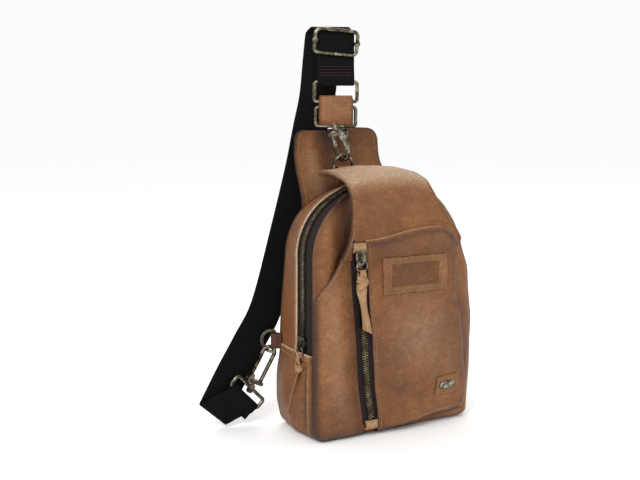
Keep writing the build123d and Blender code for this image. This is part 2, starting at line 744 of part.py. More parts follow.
with BuildPart() as adjuster_bar:
    bar_plane = Plane(
        origin=adjuster_face.from_local_coords(Vector(-adjuster_half, 0, -bar_back)), z_dir=adjuster_across
    )
    with BuildSketch(bar_plane):
        Circle(1.6)
    extrude(amount=2 * adjuster_half)
    for side in (-1, 1):
        with BuildSketch(adjuster_face.offset(-bar_back - 1.6)):
            with Locations((side * adjuster_half, 0)):
                RectangleRounded(5.6, 4.6, 1.2)
        extrude(amount=bar_back + 1.6 + frame_out + wire + 0.8)
        side_wire = Plane(
            origin=adjuster_face.from_local_coords(Vector(side * adjuster_half, -5, frame_out)),
            z_dir=adjuster_face.y_dir,
        )
        with BuildSketch(side_wire):
            Circle(wire + 0.05)
        extrude(amount=10, mode=Mode.SUBTRACT)
adjuster_bar.part.label = "adjuster_bar"
export_step(adjuster_bar.part, "parts/adjuster_bar.step")

# ---- Webbing ----
bend_z = 412.0               # where the webbing starts to turn over the top
sewn_top_z = 386.0
loop_points = [
    (1.9, sewn_top_z), (1.9, 373), (3.2, 367), (3.2, 362), (2.3, 359.7), (0, 358.7), (-2.3, 359.7),
    (-3.2, 362), (-3.0, 366), (-0.4, 373), (0, 377), (0, bend_z),
]
with BuildPart() as webbing_loop:
    with BuildSketch(upper_section.offset(-webbing_width / 2)):
        with BuildLine():
            Polyline(*ribbon(loop_points, webbing_thickness), close=True)
        make_face()
    extrude(amount=webbing_width)
webbing_loop.part.label = "webbing_loop"
export_step(webbing_loop.part, "parts/webbing_loop.step")


def strip_section(centre, width_dir, heading):
    """Cross-section of the webbing at a place, as a sketch plane."""
    side = (width_dir - heading * width_dir.dot(heading)).normalized()
    return Plane(origin=centre, x_dir=side, z_dir=heading)


bend_radius = 7.5
bend_slip = 12.0             # the webbing slips sideways as it turns over
bend_planes = []
for i in range(9):
    angle = math.pi * i / 8
    centre = (
        Vector(upper_x, upper_y, bend_z) + behind * bend_radius * (1 - math.cos(angle))
        + Vector(0, 0, bend_radius * math.sin(angle)) - across * (bend_slip * i / 8)
    )
    heading = behind * math.sin(angle) + Vector(0, 0, math.cos(angle))
    bend_planes.append(strip_section(centre, across, heading))
with BuildPart() as webbing_top_bend:
    for plane in bend_planes:
        with BuildSketch(plane):
            Rectangle(webbing_width, webbing_thickness)
    loft(ruled=True)
webbing_top_bend.part.label = "webbing_top_bend"
export_step(webbing_top_bend.part, "parts/webbing_top_bend.step")

lower_y = 58.0               # the back layer of the webbing where it nears the floor
run_stations = [
    (Vector(-26, 70, 385), Vector(0.906, -0.42, -0.04)),
    (Vector(-29, 73, 345), Vector(0.91, -0.38, -0.1)),
    (Vector(-36, 76.5, 311), Vector(0.955, -0.2, -0.2)),
    (Vector(-51, 70, 265), Vector(0.95, -0.08, -0.29)),
    (Vector(-74.5, 62, 199.7), Vector(0.943, 0, -0.333)),
    (Vector(-99.3, lower_y, 125.2), Vector(0.934, 0, -0.358)),
]
with BuildPart() as webbing_upper_run:
    with BuildSketch(bend_planes[-1]):
        Rectangle(webbing_width, webbing_thickness)
    for centre, width_dir in run_stations:
        heading = Vector(0, 0, -1) - width_dir * Vector(0, 0, -1).dot(width_dir)
        with BuildSketch(strip_section(centre, width_dir, heading.normalized())):
            Rectangle(webbing_width, webbing_thickness)
    loft(ruled=True)
webbing_upper_run.part.label = "webbing_upper_run"
export_step(webbing_upper_run.part, "parts/webbing_upper_run.step")

fold_low, fold_high = (-151.0, 4.6), (-178.0, 29.0)
return_y = 51.9              # the front layer, back from the fold to the side eye
last_centre, last_across = run_stations[-1]
run_gap = Vector(-0.13, 0, -0.35)
last_left = last_centre - last_across * (webbing_width / 2) + run_gap
last_right = last_centre + last_across * (webbing_width / 2) + run_gap
with BuildPart() as webbing_lower_run:
    with BuildSketch(at_y(lower_y + webbing_thickness / 2)):
        with BuildLine():
            Polyline(
                fold_low, fold_high, (-131, 103), (last_left.X, last_left.Z), (last_right.X, last_right.Z),
                (-97, 85.7), close=True,
            )
        make_face()
    extrude(amount=webbing_thickness)
webbing_lower_run.part.label = "webbing_lower_run"
export_step(webbing_lower_run.part, "parts/webbing_lower_run.step")

fold_axis = Vector(fold_high[0] - fold_low[0], 0, fold_high[1] - fold_low[1])
fold_mid_y = (lower_y + return_y) / 2
fold_radius = (lower_y - return_y) / 2
fold_plane = Plane(
    origin=(fold_low[0], fold_mid_y, fold_low[1]), x_dir=(0, 1, 0), z_dir=fold_axis.normalized()
)
side_loop_length = 8.0
side_bar = side_eye_face.from_local_coords(Vector(0, -side_bar_drop, 0))
loop_start = side_eye_face.from_local_coords(Vector(0, -side_bar_drop - side_loop_length, 0))
loop_low = loop_start + side_eye_across * (webbing_width / 2)
loop_high = loop_start - side_eye_across * (webbing_width / 2)
with BuildPart() as webbing_fold:
    with BuildSketch(fold_plane):
        Circle(fold_radius + webbing_thickness / 2)
        Circle(fold_radius - webbing_thickness / 2, mode=Mode.SUBTRACT)
        with Locations((0, -10)):
            Rectangle(20, 20, mode=Mode.SUBTRACT)
    extrude(amount=fold_axis.length)
webbing_fold.part.label = "webbing_fold"
export_step(webbing_fold.part, "parts/webbing_fold.step")

with BuildPart() as webbing_return:
    with BuildSketch(at_y(return_y + webbing_thickness / 2)):
        with BuildLine():
            Polyline(
                fold_low, fold_high, (loop_high.X, loop_high.Z), (loop_low.X, loop_low.Z), close=True,
            )
        make_face()
    extrude(amount=webbing_thickness)
    side_section = Plane(origin=side_bar, x_dir=(0, 1, 0), z_dir=Vector(0, 1, 0).cross(side_eye_face.y_dir))
    with BuildSketch(side_section.offset(-webbing_width / 2)):
        with BuildLine():
            turn_radius = wire + 0.25 + webbing_thickness / 2
            points = [(return_y - 50, -side_loop_length), (return_y - 50 + 0.5, -5)]
            points += [(turn_radius * math.cos(a), turn_radius * math.sin(a))
                       for a in [math.radians(d) for d in range(-10, 191, 25)]]
            points += [(-1.6, -6.5), (0.1, -side_loop_length - 1.5), (0.1, -side_loop_length - 3)]
            Polyline(*ribbon(points, webbing_thickness), close=True)
        make_face()
    extrude(amount=webbing_width)
webbing_return.part.label = "webbing_return"
export_step(webbing_return.part, "parts/webbing_return.step")
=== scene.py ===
"""A tan leather sling bag with black webbing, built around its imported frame. Metres, +Z up, front at -Y.

Shapes are worked out in millimetres, and scaled by MM where their points are made.
"""

import math

import bmesh
import bpy
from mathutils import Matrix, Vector, noise


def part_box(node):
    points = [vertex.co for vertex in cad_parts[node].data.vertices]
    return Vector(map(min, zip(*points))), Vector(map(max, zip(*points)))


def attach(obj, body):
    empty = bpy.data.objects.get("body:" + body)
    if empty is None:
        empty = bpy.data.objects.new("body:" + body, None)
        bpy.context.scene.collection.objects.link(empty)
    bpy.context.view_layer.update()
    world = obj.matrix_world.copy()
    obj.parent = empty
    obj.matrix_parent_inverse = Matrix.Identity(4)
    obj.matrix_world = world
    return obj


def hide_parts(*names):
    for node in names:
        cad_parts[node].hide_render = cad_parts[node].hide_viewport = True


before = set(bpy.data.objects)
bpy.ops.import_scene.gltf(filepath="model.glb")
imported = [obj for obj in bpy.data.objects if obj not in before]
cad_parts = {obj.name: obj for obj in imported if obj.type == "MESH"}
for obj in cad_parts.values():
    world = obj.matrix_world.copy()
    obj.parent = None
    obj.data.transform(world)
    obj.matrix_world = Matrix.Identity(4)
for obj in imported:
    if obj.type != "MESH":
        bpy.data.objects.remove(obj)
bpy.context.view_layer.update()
MM = 0.001

# ---- camera, light and floor

WHITE = (1, 1, 1, 1)
LIGHT_AIM = Vector((0, 0, 0.15))


def add_object(name, data):
    thing = bpy.data.objects.new(name, data)
    bpy.context.scene.collection.objects.link(thing)
    return thing


def add_camera():
    data = bpy.data.cameras.new("camera")
    data.lens = 52.65
    data.sensor_width = 36
    camera = add_object("camera", data)
    camera.location = (-0.5437, -0.8214, 0.330)
    camera.rotation_euler = (math.radians(82.21), 0, math.radians(-30.1))
    bpy.context.scene.camera = camera


def add_lights():
    world = bpy.data.worlds.new("studio")
    world.use_nodes = True
    background = world.node_tree.nodes["Background"]
    background.inputs["Color"].default_value = WHITE
    background.inputs["Strength"].default_value = 0.97
    bpy.context.scene.world = world
    bpy.context.scene.view_settings.view_transform = "Standard"
    for name, place, power, size in (
        ("key_light", (-1.3, -1.0, 1.5), 20, 0.8),
        ("fill_light", (1.6, -1.2, 1.1), 3, 1.6),
        ("rim_light", (0.5, 1.3, 1.7), 9, 1.0),
    ):
        data = bpy.data.lights.new(name, "AREA")
        data.energy = power
        data.size = size
        light = add_object(name, data)
        light.location = place
        light.rotation_euler = (LIGHT_AIM - Vector(place)).to_track_quat("-Z", "Y").to_euler()


def add_floor():
    bpy.ops.mesh.primitive_plane_add(size=14, location=(0, 3, 0))
    floor = bpy.context.object
    floor.name = "floor"
    paint = bpy.data.materials.new("floor_paint")
    paint.use_nodes = True
    shader = paint.node_tree.nodes["Principled BSDF"]
    shader.inputs["Base Color"].default_value = WHITE
    shader.inputs["Roughness"].default_value = 0.75
    floor.data.materials.append(paint)


add_camera()
add_lights()
add_floor()

# ---- material building blocks


class Nodes:
    """Adds and joins the shader nodes of one material."""

    def __init__(self, name):
        self.material = bpy.data.materials.new(name)
        self.material.use_nodes = True
        self.tree = self.material.node_tree
        self.shader = self.tree.nodes["Principled BSDF"]
        self.coords = self.tree.nodes.new("ShaderNodeTexCoord").outputs["Object"]

    def feed(self, socket, value):
        """Join another node's output to a socket, or set the socket's own value."""
        if hasattr(value, "is_linked"):
            self.tree.links.new(value, socket)
        else:
            socket.default_value = value

    def add(self, kind, inputs=None, **settings):
        node = self.tree.nodes.new("ShaderNode" + kind)
        for key, value in settings.items():
            setattr(node, key, value)
        for key, value in (inputs or {}).items():
            self.feed(node.inputs[key], value)
        return node

    def noise(self, scale, detail=4.0, rough=0.55, coords=None):
        inputs = {"Scale": scale, "Detail": detail, "Roughness": rough, "Vector": coords or self.coords}
        return self.add("TexNoise", inputs).outputs["Fac"]

    def ramp(self, factor, stops):
        node = self.add("ValToRGB", {"Fac": factor})
        ramp = node.color_ramp
        while len(ramp.elements) < len(stops):
            ramp.elements.new(0.5)
        for element, (place, colour) in zip(ramp.elements, stops):
            element.position = place
            element.color = (*colour, 1)
        return node.outputs["Color"]

    def math(self, operation, a, b=0.0, clamp=False):
        node = self.add("Math", operation=operation, use_clamp=clamp)
        for socket, value in zip(node.inputs, (a, b)):
            self.feed(socket, value)
        return node.outputs["Value"]

    def plus(self, a, b):
        return self.math("ADD", a, b)

    def times(self, a, b, clamp=False):
        return self.math("MULTIPLY", a, b, clamp)

    def mix(self, factor, a, b, blend="MIX"):
        node = self.add("Mix", data_type="RGBA", blend_type=blend)
        for key, value in ((0, factor), (6, a), (7, b)):
            self.feed(node.inputs[key], (*value, 1) if isinstance(value, tuple) else value)
        return node.outputs[2]

    def bump(self, height, strength, distance):
        node = self.add("Bump", {"Height": height, "Strength": strength, "Distance": distance})
        return node.outputs["Normal"]

    def attribute(self, name):
        return self.add("Attribute", attribute_name=name).outputs["Fac"]

    def finish(self, color, roughness, normal, metallic=0.0, specular=None):
        for key, value in (("Base Color", color), ("Roughness", roughness), ("Normal", normal)):
            self.feed(self.shader.inputs[key], value)
        self.shader.inputs["Metallic"].default_value = metallic
        if specular is not None:
            self.shader.inputs["Specular IOR Level"].default_value = specular
        return self.material


def scaled(colour, factors):
    return tuple(part * factor for part, factor in zip(colour, factors))


# Darkening factors for painted shade and for darker leather.
DARK_FACTORS = (0.46, 0.40, 0.38)


def leather_material(name, dark, middle, light, grain=1.0, rough=0.44, pale_factors=(1.25, 1.4, 1.55)):
    """Waxed leather with pebble grain and creases, darkened where a per-point attribute is below 0 and paled
    where it is above 0; that attribute paints shade and highlights, as well as darker and paler leather.
    """
    n = Nodes(name)
    warp = n.add("TexNoise", {"Scale": 22.0, "Detail": 3.0, "Vector": n.coords}).outputs["Color"]
    bend = n.add("VectorMath", {0: warp, 1: (0.035, 0.035, 0.035), 2: n.coords}, operation="MULTIPLY_ADD")
    bent = bend.outputs["Vector"]
    cloud = n.noise(12, 5, 0.55, bent)
    mottle = n.noise(70, 8, 0.78, bent)
    mixed = n.plus(n.times(cloud, 0.62), n.times(mottle, 0.38))
    base = n.ramp(mixed, ((0.32, dark), (0.5, middle), (0.68, light)))
    shade_and_wear = n.attribute("shade_and_wear")
    low = n.times(n.times(shade_and_wear, -1.0), n.plus(mottle, 0.75), True)
    darkened = n.mix(low, base, scaled(dark, DARK_FACTORS))
    high = n.times(shade_and_wear, n.plus(mottle, 0.5), True)
    paled = n.mix(high, darkened, scaled(light, pale_factors))
    flat = n.add("VectorMath", {0: n.coords, 1: (1, 1, 2.3)}, operation="MULTIPLY").outputs["Vector"]
    scratch = n.add("TexNoise", {"Scale": 52.0, "Detail": 8.0, "Roughness": 0.8, "Distortion": 1.3,
                                 "Vector": flat})
    veins = n.math("ABSOLUTE", n.math("SUBTRACT", scratch.outputs["Fac"], 0.5))
    lines = n.ramp(veins, ((0.0, (0.66, 0.60, 0.56)), (0.035, (1, 1, 1))))
    colour = n.mix(0.42, paled, lines, "MULTIPLY")
    speck = n.ramp(n.noise(430, 3, 0.6), ((0.3, (0.80, 0.76, 0.72)), (0.7, (1.16, 1.17, 1.2))))
    colour = n.mix(0.7, colour, speck, "MULTIPLY")
    pebble = n.add("TexVoronoi", {"Scale": 620.0, "Randomness": 1.0, "Vector": bent}, feature="SMOOTH_F1")
    crease = n.math("MINIMUM", n.times(veins, 9.0), 0.4)
    swell = n.noise(120, 5, 0.65)
    soft = n.plus(n.times(crease, 0.55), n.times(swell, 1.7))
    height = n.plus(n.times(pebble.outputs["Distance"], 0.8 * grain), soft)
    gloss = n.ramp(mixed, ((0.36, (rough - 0.06,) * 3), (0.63, (rough + 0.14,) * 3)))
    return n.finish(colour, gloss, n.bump(height, 0.62, 0.0016), specular=0.38)


def metal_material(name, low, high, dark, spread=0.18):
    """Aged metal in patches, dull in some places and bright in others."""
    n = Nodes(name)
    colour = n.ramp(n.noise(160, 5, 0.6), ((0.5 - spread, dark), (0.5, low), (0.5 + spread, high)))
    rough = n.ramp(n.noise(420, 4), ((0.3, (0.18, 0.18, 0.18)), (0.7, (0.40, 0.40, 0.40))))
    return n.finish(colour, rough, n.bump(n.noise(900, 3), 0.10, 0.0003), metallic=1.0)


CHEVRONS_PER_METRE, THREADS_PER_METRE = 90.0, 620


def woven_material(name, dark, light, ribs_per_metre):
    """Woven ribs from the strip's own coordinates: strip_u runs across it and strip_v along it, in metres."""
    n = Nodes(name)
    u, v = n.attribute("strip_u"), n.attribute("strip_v")
    chevron = n.math("ABSOLUTE", n.math("SUBTRACT", n.math("FRACT", n.times(u, CHEVRONS_PER_METRE)), 0.5))
    slanted = n.plus(n.times(v, ribs_per_metre), n.times(chevron, 6.0))
    ribs = n.math("SINE", n.times(slanted, 6.2832))
    columns = n.math("SINE", n.times(u, 6.2832 * THREADS_PER_METRE))
    weave = n.plus(n.times(ribs, 0.6), n.times(columns, 0.4))
    fuzz = n.noise(700, 3)
    colour = n.ramp(n.plus(n.times(weave, 0.22), fuzz), ((0.25, dark), (0.75, light)))
    height = n.plus(weave, n.times(fuzz, 0.6))
    return n.finish(colour, 0.86, n.bump(height, 0.5, 0.00035), specular=0.11)


def plain_material(name, dark, light, scale, rough):
    n = Nodes(name)
    fibre = n.noise(scale, 4, 0.6)
    return n.finish(n.ramp(fibre, ((0.3, dark), (0.7, light))), rough, n.bump(fibre, 0.3, 0.0004))


leather = leather_material("tan_leather", (0.110, 0.0355, 0.0080), (0.198, 0.074, 0.0180),
                           (0.292, 0.125, 0.037), pale_factors=(1.42, 2.1, 4.3))
raw_edge = leather_material("raw_leather_edge", (0.30, 0.18, 0.095), (0.46, 0.31, 0.18), (0.56, 0.41, 0.26),
                            0.4, 0.7)
dark_edge = leather_material("dark_leather_edge", (0.04, 0.014, 0.009), (0.075, 0.028, 0.016),
                             (0.14, 0.06, 0.03), 0.4, 0.6)
lace = leather_material("lace_leather", (0.20, 0.092, 0.036), (0.34, 0.18, 0.08),
                        (0.46, 0.28, 0.145), 0.6, 0.5)
antique_brass = metal_material("antique_brass", (0.135, 0.118, 0.08), (0.36, 0.33, 0.25),
                               (0.035, 0.029, 0.02), 0.14)
zip_brass_body = metal_material("zip_brass_body", (0.16, 0.14, 0.10), (0.36, 0.32, 0.24),
                                (0.04, 0.035, 0.025))
zip_brass = metal_material("zip_brass", (0.24, 0.19, 0.10), (0.46, 0.38, 0.23), (0.08, 0.065, 0.04))
webbing_cloth = woven_material("webbing_cloth", (0.0010, 0.0012, 0.0011), (0.0050, 0.0058, 0.0054), 420)
tape_cloth = woven_material("tape_cloth", (0.008, 0.0055, 0.006), (0.030, 0.021, 0.023), 700)
lining_cloth = plain_material("lining_cloth", (0.03, 0.026, 0.024), (0.075, 0.066, 0.06), 900, 0.9)
foam = plain_material("foam", (0.5, 0.48, 0.43), (0.7, 0.68, 0.62), 500, 0.95)
board = plain_material("fibre_board", (0.2, 0.15, 0.1), (0.36, 0.28, 0.19), 300, 0.9)
thread_tan = plain_material("tan_thread", (0.17, 0.082, 0.034), (0.33, 0.19, 0.095), 1500, 0.7)
thread_red = plain_material("red_thread", (0.035, 0.008, 0.008), (0.080, 0.020, 0.020), 1500, 0.7)

# ---- numbers and curves


def lerp(a, b, t):
    return a + (b - a) * t


def rise(low, high, value):
    """Smooth rise from 0 at low to 1 at high."""
    t = min(max((value - low) / (high - low), 0.0), 1.0)
    return t * t * (3 - 2 * t)


def fall(low, high, value):
    """Smooth fall from 1 at low to 0 at high."""
    return 1 - rise(low, high, value)


def hump(value, centre, width):
    """A smooth bump, 1 at its centre."""
    return math.exp(-((value - centre) / width) ** 2)


def rounding(distance, radius):
    """Quarter-round rise from 0 at the edge to 1 at the radius."""
    t = min(max(distance / radius, 0.0), 1.0)
    return math.sqrt(1 - (1 - t) ** 2)


def wrinkle(p, size, amount):
    """Soft smooth folds, the same at every run."""
    return amount * noise.noise(Vector(p) / size)


def spread(count, tight=0.0):
    """Values from 0 to 1, drawn towards both ends by tight."""
    values = [k / (count - 1) for k in range(count)]
    return [lerp(t, 0.5 - 0.5 * math.cos(math.pi * t), tight) for t in values]


def spline(p0, p1, p2, p3, t):
    """Smooth value between p1 and p2."""
    return 0.5 * (2 * p1 + (p2 - p0) * t + (2 * p0 - 5 * p1 + 4 * p2 - p3) * t * t
                  + (3 * p1 - p0 - 3 * p2 + p3) * t ** 3)


def smooth_line(points, per_span):
    """Smooth line through points."""
    ends = [points[0] * 2 - points[1], *points, points[-1] * 2 - points[-2]]
    result = []
    for span in zip(ends, ends[1:], ends[2:], ends[3:]):
        result += [spline(*span, k / per_span) for k in range(per_span)]
    return [*result, points[-1]]


def curve_value(values, t):
    """Smooth value along a list of evenly spread values."""
    place = min(max(t, 0.0), 1.0) * (len(values) - 1)
    k = min(int(place), len(values) - 2)
    before, after = values[max(k - 1, 0)], values[min(k + 2, len(values) - 1)]
    return spline(before, values[k], values[k + 1], after, place - k)


def table_value(table, key):
    """Straight-line value between the entries of a short list of pairs."""
    for (k0, v0), (k1, v1) in zip(table, table[1:]):
        if key <= k1:
            return lerp(v0, v1, (key - k0) / (k1 - k0))
    return table[-1][1]


def resample(path, step):
    """Even points along a path, a step apart."""
    result, left = [path[0].copy()], step
    for a, b in zip(path, path[1:]):
        length = (b - a).length
        while length >= left and length > 1e-9:
            a = a + (b - a) * (left / length)
            result.append(a.copy())
            length = (b - a).length
            left = step
        left -= length
    return result


# ---- mesh building blocks


def make_piece(name, points, faces, material, slot, body="bag", uvs=None, shade_and_wear=None, smooth=True, solid=False,
               replaces=()):
    """One piece from points and faces. A solid's faces are turned to point outwards."""
    mesh = bpy.data.meshes.new(name)
    mesh.from_pydata([tuple(p) for p in points], [], faces)
    mesh.update()
    if smooth:
        mesh.polygons.foreach_set("use_smooth", [True] * len(mesh.polygons))
    # Per-point attribute that paints shade and highlights on the leather, as well as darker and paler leather.
    columns = {"shade_and_wear": shade_and_wear} if shade_and_wear else {}
    if uvs:
        columns |= {"strip_u": [u for u, _ in uvs], "strip_v": [v for _, v in uvs]}
    for key, values in columns.items():
        mesh.attributes.new(key, "FLOAT", "POINT").data.foreach_set("value", values)
    mesh.materials.append(material)
    piece = add_object(name, mesh)
    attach(piece, body)
    if solid:
        work = bmesh.new()
        work.from_mesh(mesh)
        bmesh.ops.recalc_face_normals(work, faces=work.faces)
        work.to_mesh(mesh)
        work.free()
    if replaces:
        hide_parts(*replaces)
    return piece


def grid_faces(rows, columns):
    corners = [i * columns + j for i in range(rows - 1) for j in range(columns - 1)]
    return [(k, k + 1, k + columns + 1, k + columns) for k in corners]


def surface_normals(points, faces):
    """Average normal at each point of a surface of quads."""
    normals = [Vector((0, 0, 0)) for _ in points]
    for face in faces:
        a, b, c, d = (points[k] for k in face)
        normal = (c - a).cross(d - b)
        for k in face:
            normals[k] = normals[k] + normal
    return [normal.normalized() if normal.length > 1e-14 else Vector((0, 0, 1)) for normal in normals]


RIM_LEVELS, RIM_BULGE, RIM_DARKENING = (0.2, 0.5, 0.8), 0.4, -0.15


def sheet_piece(name, grid, thickness, material, slot="leather", shade_and_wear=None, edge=None, flip=False, keep=None,
                uvs=None, **extra):
    """A sheet behind a grid of points, thickness in mm, its edges rounded. keep(i, j) picks its cells."""
    thickness = thickness * MM
    columns = len(grid[0])
    faces = [face[::-1] if flip else face for k, face in enumerate(grid_faces(len(grid), columns))
             if keep is None or keep(k // (columns - 1), k % (columns - 1))]
    used = sorted({k for face in faces for k in face})
    index = {old: new for new, old in enumerate(used)}
    faces = [tuple(index[k] for k in face) for face in faces]

    def picked(table):
        return [table[k // columns][k % columns] for k in used]

    points = picked(grid)
    picked_shade_and_wear = picked(shade_and_wear) if shade_and_wear else [0.0] * len(used)
    marks = picked(uvs) if uvs else None
    normals = surface_normals(points, faces)
    count = len(points)
    inner = [p - n * thickness for p, n in zip(points, normals)]
    inner_faces = [tuple(count + k for k in face[::-1]) for face in faces]
    sides = {(a, b): face for face in faces for a, b in zip(face, face[1:] + face[:1])}
    border = [(a, b) for a, b in sides if (b, a) not in sides]
    outward = {}
    for a, b in border:
        direction = (points[b] - points[a]).cross(normals[a])
        for k in (a, b):
            outward[k] = outward.get(k, Vector((0, 0, 0))) + direction
    rim, extra_points, extra_shade_and_wear, extra_marks = {}, [], [], []
    for k, direction in outward.items():
        push = direction.normalized() if direction.length > 1e-14 else Vector((0, 0, 0))
        rim[k] = []
        for level in RIM_LEVELS:
            bulge = math.sin(math.pi * level) * thickness * RIM_BULGE
            rim[k].append(2 * count + len(extra_points))
            extra_points.append(points[k] - normals[k] * thickness * level + push * bulge)
            extra_shade_and_wear.append(picked_shade_and_wear[k] + RIM_DARKENING)
            extra_marks.append(marks[k] if marks else None)
    edge_faces = []
    for a, b in border:
        left = [a, *rim[a], count + a]
        right = [b, *rim[b], count + b]
        edge_faces += [(left[k + 1], right[k + 1], right[k], left[k]) for k in range(len(left) - 1)]
    piece = make_piece(name, points + inner + extra_points, faces + inner_faces + edge_faces, material, slot,
                       uvs=marks * 2 + extra_marks if marks else None, shade_and_wear=picked_shade_and_wear * 2 + extra_shade_and_wear, **extra)
    if edge:
        piece.data.materials.append(edge)
        for polygon in list(piece.data.polygons)[len(faces) + len(inner_faces):]:
            polygon.material_index = 1
    return piece


def thread_mesh(paths, radius, sides=6):
    """Points and faces of round threads along open paths."""
    points, faces = [], []
    for path in paths:
        base = len(points)
        reference = None
        for before, p, after in zip([path[0], *path], path, [*path[1:], path[-1]]):
            ahead = (after - before).normalized()
            if reference is None:
                reference = ahead.orthogonal().normalized()
            reference = (reference - ahead * reference.dot(ahead)).normalized()
            other = ahead.cross(reference)
            for k in range(sides):
                angle = 2 * math.pi * k / sides
                points.append(p + (reference * math.cos(angle) + other * math.sin(angle)) * radius)
        for low in range(base, len(points) - sides, sides):
            for k in range(sides):
                a, b = low + k, low + (k + 1) % sides
                faces.append((a, b, b + sides, a + sides))
        faces.append(tuple(range(base, base + sides))[::-1])
        faces.append(tuple(range(len(points) - sides, len(points))))
    return points, faces


def stitch_piece(name, paths, material=thread_tan, pitch=3.2, gap=0.9, radius=0.46, slot="leather"):
    """Rows of thread stitches lying on a surface. Each path is a list of (point, normal)."""
    pitch, gap, radius = pitch * MM, gap * MM, radius * MM
    lines = []
    for path in paths:
        places = resample([p for p, _ in path], pitch)
        for a, b in zip(places, places[1:]):
            normal = min(path, key=lambda item: (item[0] - a).length_squared)[1]
            end = a + (b - a).normalized() * (pitch - gap)
            middle = (a + end) / 2 + normal * radius * 1.1
            dip = normal * radius * -0.5
            swell = normal * radius * 0.4
            lines.append([a + dip, a.lerp(middle, 0.6) + swell, middle, end.lerp(middle, 0.6) + swell,
                          end + dip])
    return make_piece(name, *thread_mesh(lines, radius), material, slot, solid=True)


# ---- shape of the bag, in millimetres

HALF_WIDTH, TOP_HEIGHT, SHOULDER_HEIGHT, BASE_CORNER = 96.0, 262.0, 186.0, 12.0
TURN = math.radians(55)
ZIP_END = 88.0
GUSSET_BACK, GUSSET_FRONT, CHAIN_Y, FRONT_JOIN = 37.0, -1.0, -14.0, -34.0
FACTOR = 1 / math.cos(TURN) - math.tan(TURN)
SHOULDER_R = (TOP_HEIGHT - SHOULDER_HEIGHT - HALF_WIDTH * FACTOR) / (1 - FACTOR)
SHOULDER_X = HALF_WIDTH - SHOULDER_R
SHOULDER_TOP = SHOULDER_HEIGHT + SHOULDER_R * math.sin(TURN)
CROWN_R = SHOULDER_R + SHOULDER_X / math.cos(TURN)
CROWN_Z = SHOULDER_HEIGHT - SHOULDER_X * math.tan(TURN)
STRAIGHT = SHOULDER_HEIGHT - ZIP_END
ARCH_RUN = 2 * (STRAIGHT + SHOULDER_R * TURN) + CROWN_R * (math.pi - 2 * TURN)
CORNER_RUN = BASE_CORNER * math.pi / 2
BASE_HALF = HALF_WIDTH - BASE_CORNER
BASE_RUN = 2 * (ZIP_END - BASE_CORNER + CORNER_RUN) + 2 * BASE_HALF
ZIP_LEAN = math.radians(4.05)
ZIP_MARGIN = 8.0
BODY_LEATHER, PANEL_LEATHER, INNER_LEATHER = 2.4, 2.2, 2.0
CLOTH = 0.8


def settle(x, y, z):
    """How far the filled lower part has settled outwards, in mm along x: rear left side and right edge."""
    height = rise(3, 34, z) * fall(52, 88, z)
    rear_left = -5.2 * rise(-62, -92, x) * rise(-24, 4, y) * fall(30, 62, y)
    tall = rise(6, 60, z) * fall(96, 170, z)
    right = 3.4 * rise(40, 92, x) * fall(20, 45, y)
    return rear_left * height + right * tall


def mm(x, y, z):
    """A point of the settled bag from its place in millimetres."""
    return Vector((x + settle(x, y, z), y, z)) * MM


def arc_place(centre_x, centre_z, radius, angle):
    """Point (x, z) and outward direction (nx, nz) on an arc."""
    nx, nz = math.cos(angle), math.sin(angle)
    return centre_x + radius * nx, centre_z + radius * nz, nx, nz


def arch_place(run):
    """The same on the arch, from the left zip end up and over to the right."""
    if run < STRAIGHT:
        return -HALF_WIDTH, ZIP_END + run, -1.0, 0.0
    run -= STRAIGHT
    for centre_x, centre_z, radius, start, sweep in (
        (-SHOULDER_X, SHOULDER_HEIGHT, SHOULDER_R, math.pi, TURN),
        (0.0, CROWN_Z, CROWN_R, math.pi - TURN, math.pi - 2 * TURN),
        (SHOULDER_X, SHOULDER_HEIGHT, SHOULDER_R, TURN, TURN),
    ):
        if run < radius * sweep:
            return arc_place(centre_x, centre_z, radius, start - run / radius)
        run -= radius * sweep
    return HALF_WIDTH, SHOULDER_HEIGHT - run, 1.0, 0.0


def base_place(run):
    """The same on the lower outline, from the left zip end down, under and up to the right zip end."""
    side = ZIP_END - BASE_CORNER
    if run < side:
        return -HALF_WIDTH, ZIP_END - run, -1.0, 0.0
    run -= side
    if run < CORNER_RUN:
        return arc_place(-BASE_HALF, BASE_CORNER, BASE_CORNER, math.pi + run / BASE_CORNER)
    run -= CORNER_RUN
    if run < 2 * BASE_HALF:
        return run - BASE_HALF, 0.0, 0.0, -1.0
    run -= 2 * BASE_HALF
    if run < CORNER_RUN:
        return arc_place(BASE_HALF, BASE_CORNER, BASE_CORNER, 1.5 * math.pi + run / BASE_CORNER)
    return HALF_WIDTH, BASE_CORNER + run - CORNER_RUN, 1.0, 0.0


def outline_x(z):
    """Half width of the outline at height z."""
    z = min(max(z, 0.0), TOP_HEIGHT)
    if z < BASE_CORNER:
        return BASE_HALF + math.sqrt(max(BASE_CORNER ** 2 - (BASE_CORNER - z) ** 2, 0.0))
    if z < SHOULDER_HEIGHT:
        return HALF_WIDTH
    if z < SHOULDER_TOP:
        return SHOULDER_X + math.sqrt(SHOULDER_R ** 2 - (z - SHOULDER_HEIGHT) ** 2)
    return math.sqrt(max(CROWN_R ** 2 - (z - CROWN_Z) ** 2, 0.0))


def edge_distance(x, z):
    """How far a point of the front lies inside the outline."""
    x = abs(x)
    if z < BASE_CORNER and x > BASE_HALF:
        inside = BASE_CORNER - math.hypot(x - BASE_HALF, BASE_CORNER - z)
    elif z < SHOULDER_HEIGHT:
        inside = min(HALF_WIDTH - x, z)
    elif math.atan2(z - SHOULDER_HEIGHT, x - SHOULDER_X) < TURN:
        inside = SHOULDER_R - math.hypot(x - SHOULDER_X, z - SHOULDER_HEIGHT)
    else:
        inside = CROWN_R - math.hypot(x, z - CROWN_Z)
    return max(inside, 0.0)


def pocket_zip_x(z):
    """Centre of the pocket zip at height z."""
    return -50.2 + (200 - z) * math.tan(ZIP_LEAN) + 3.0 * fall(0, 60, z)


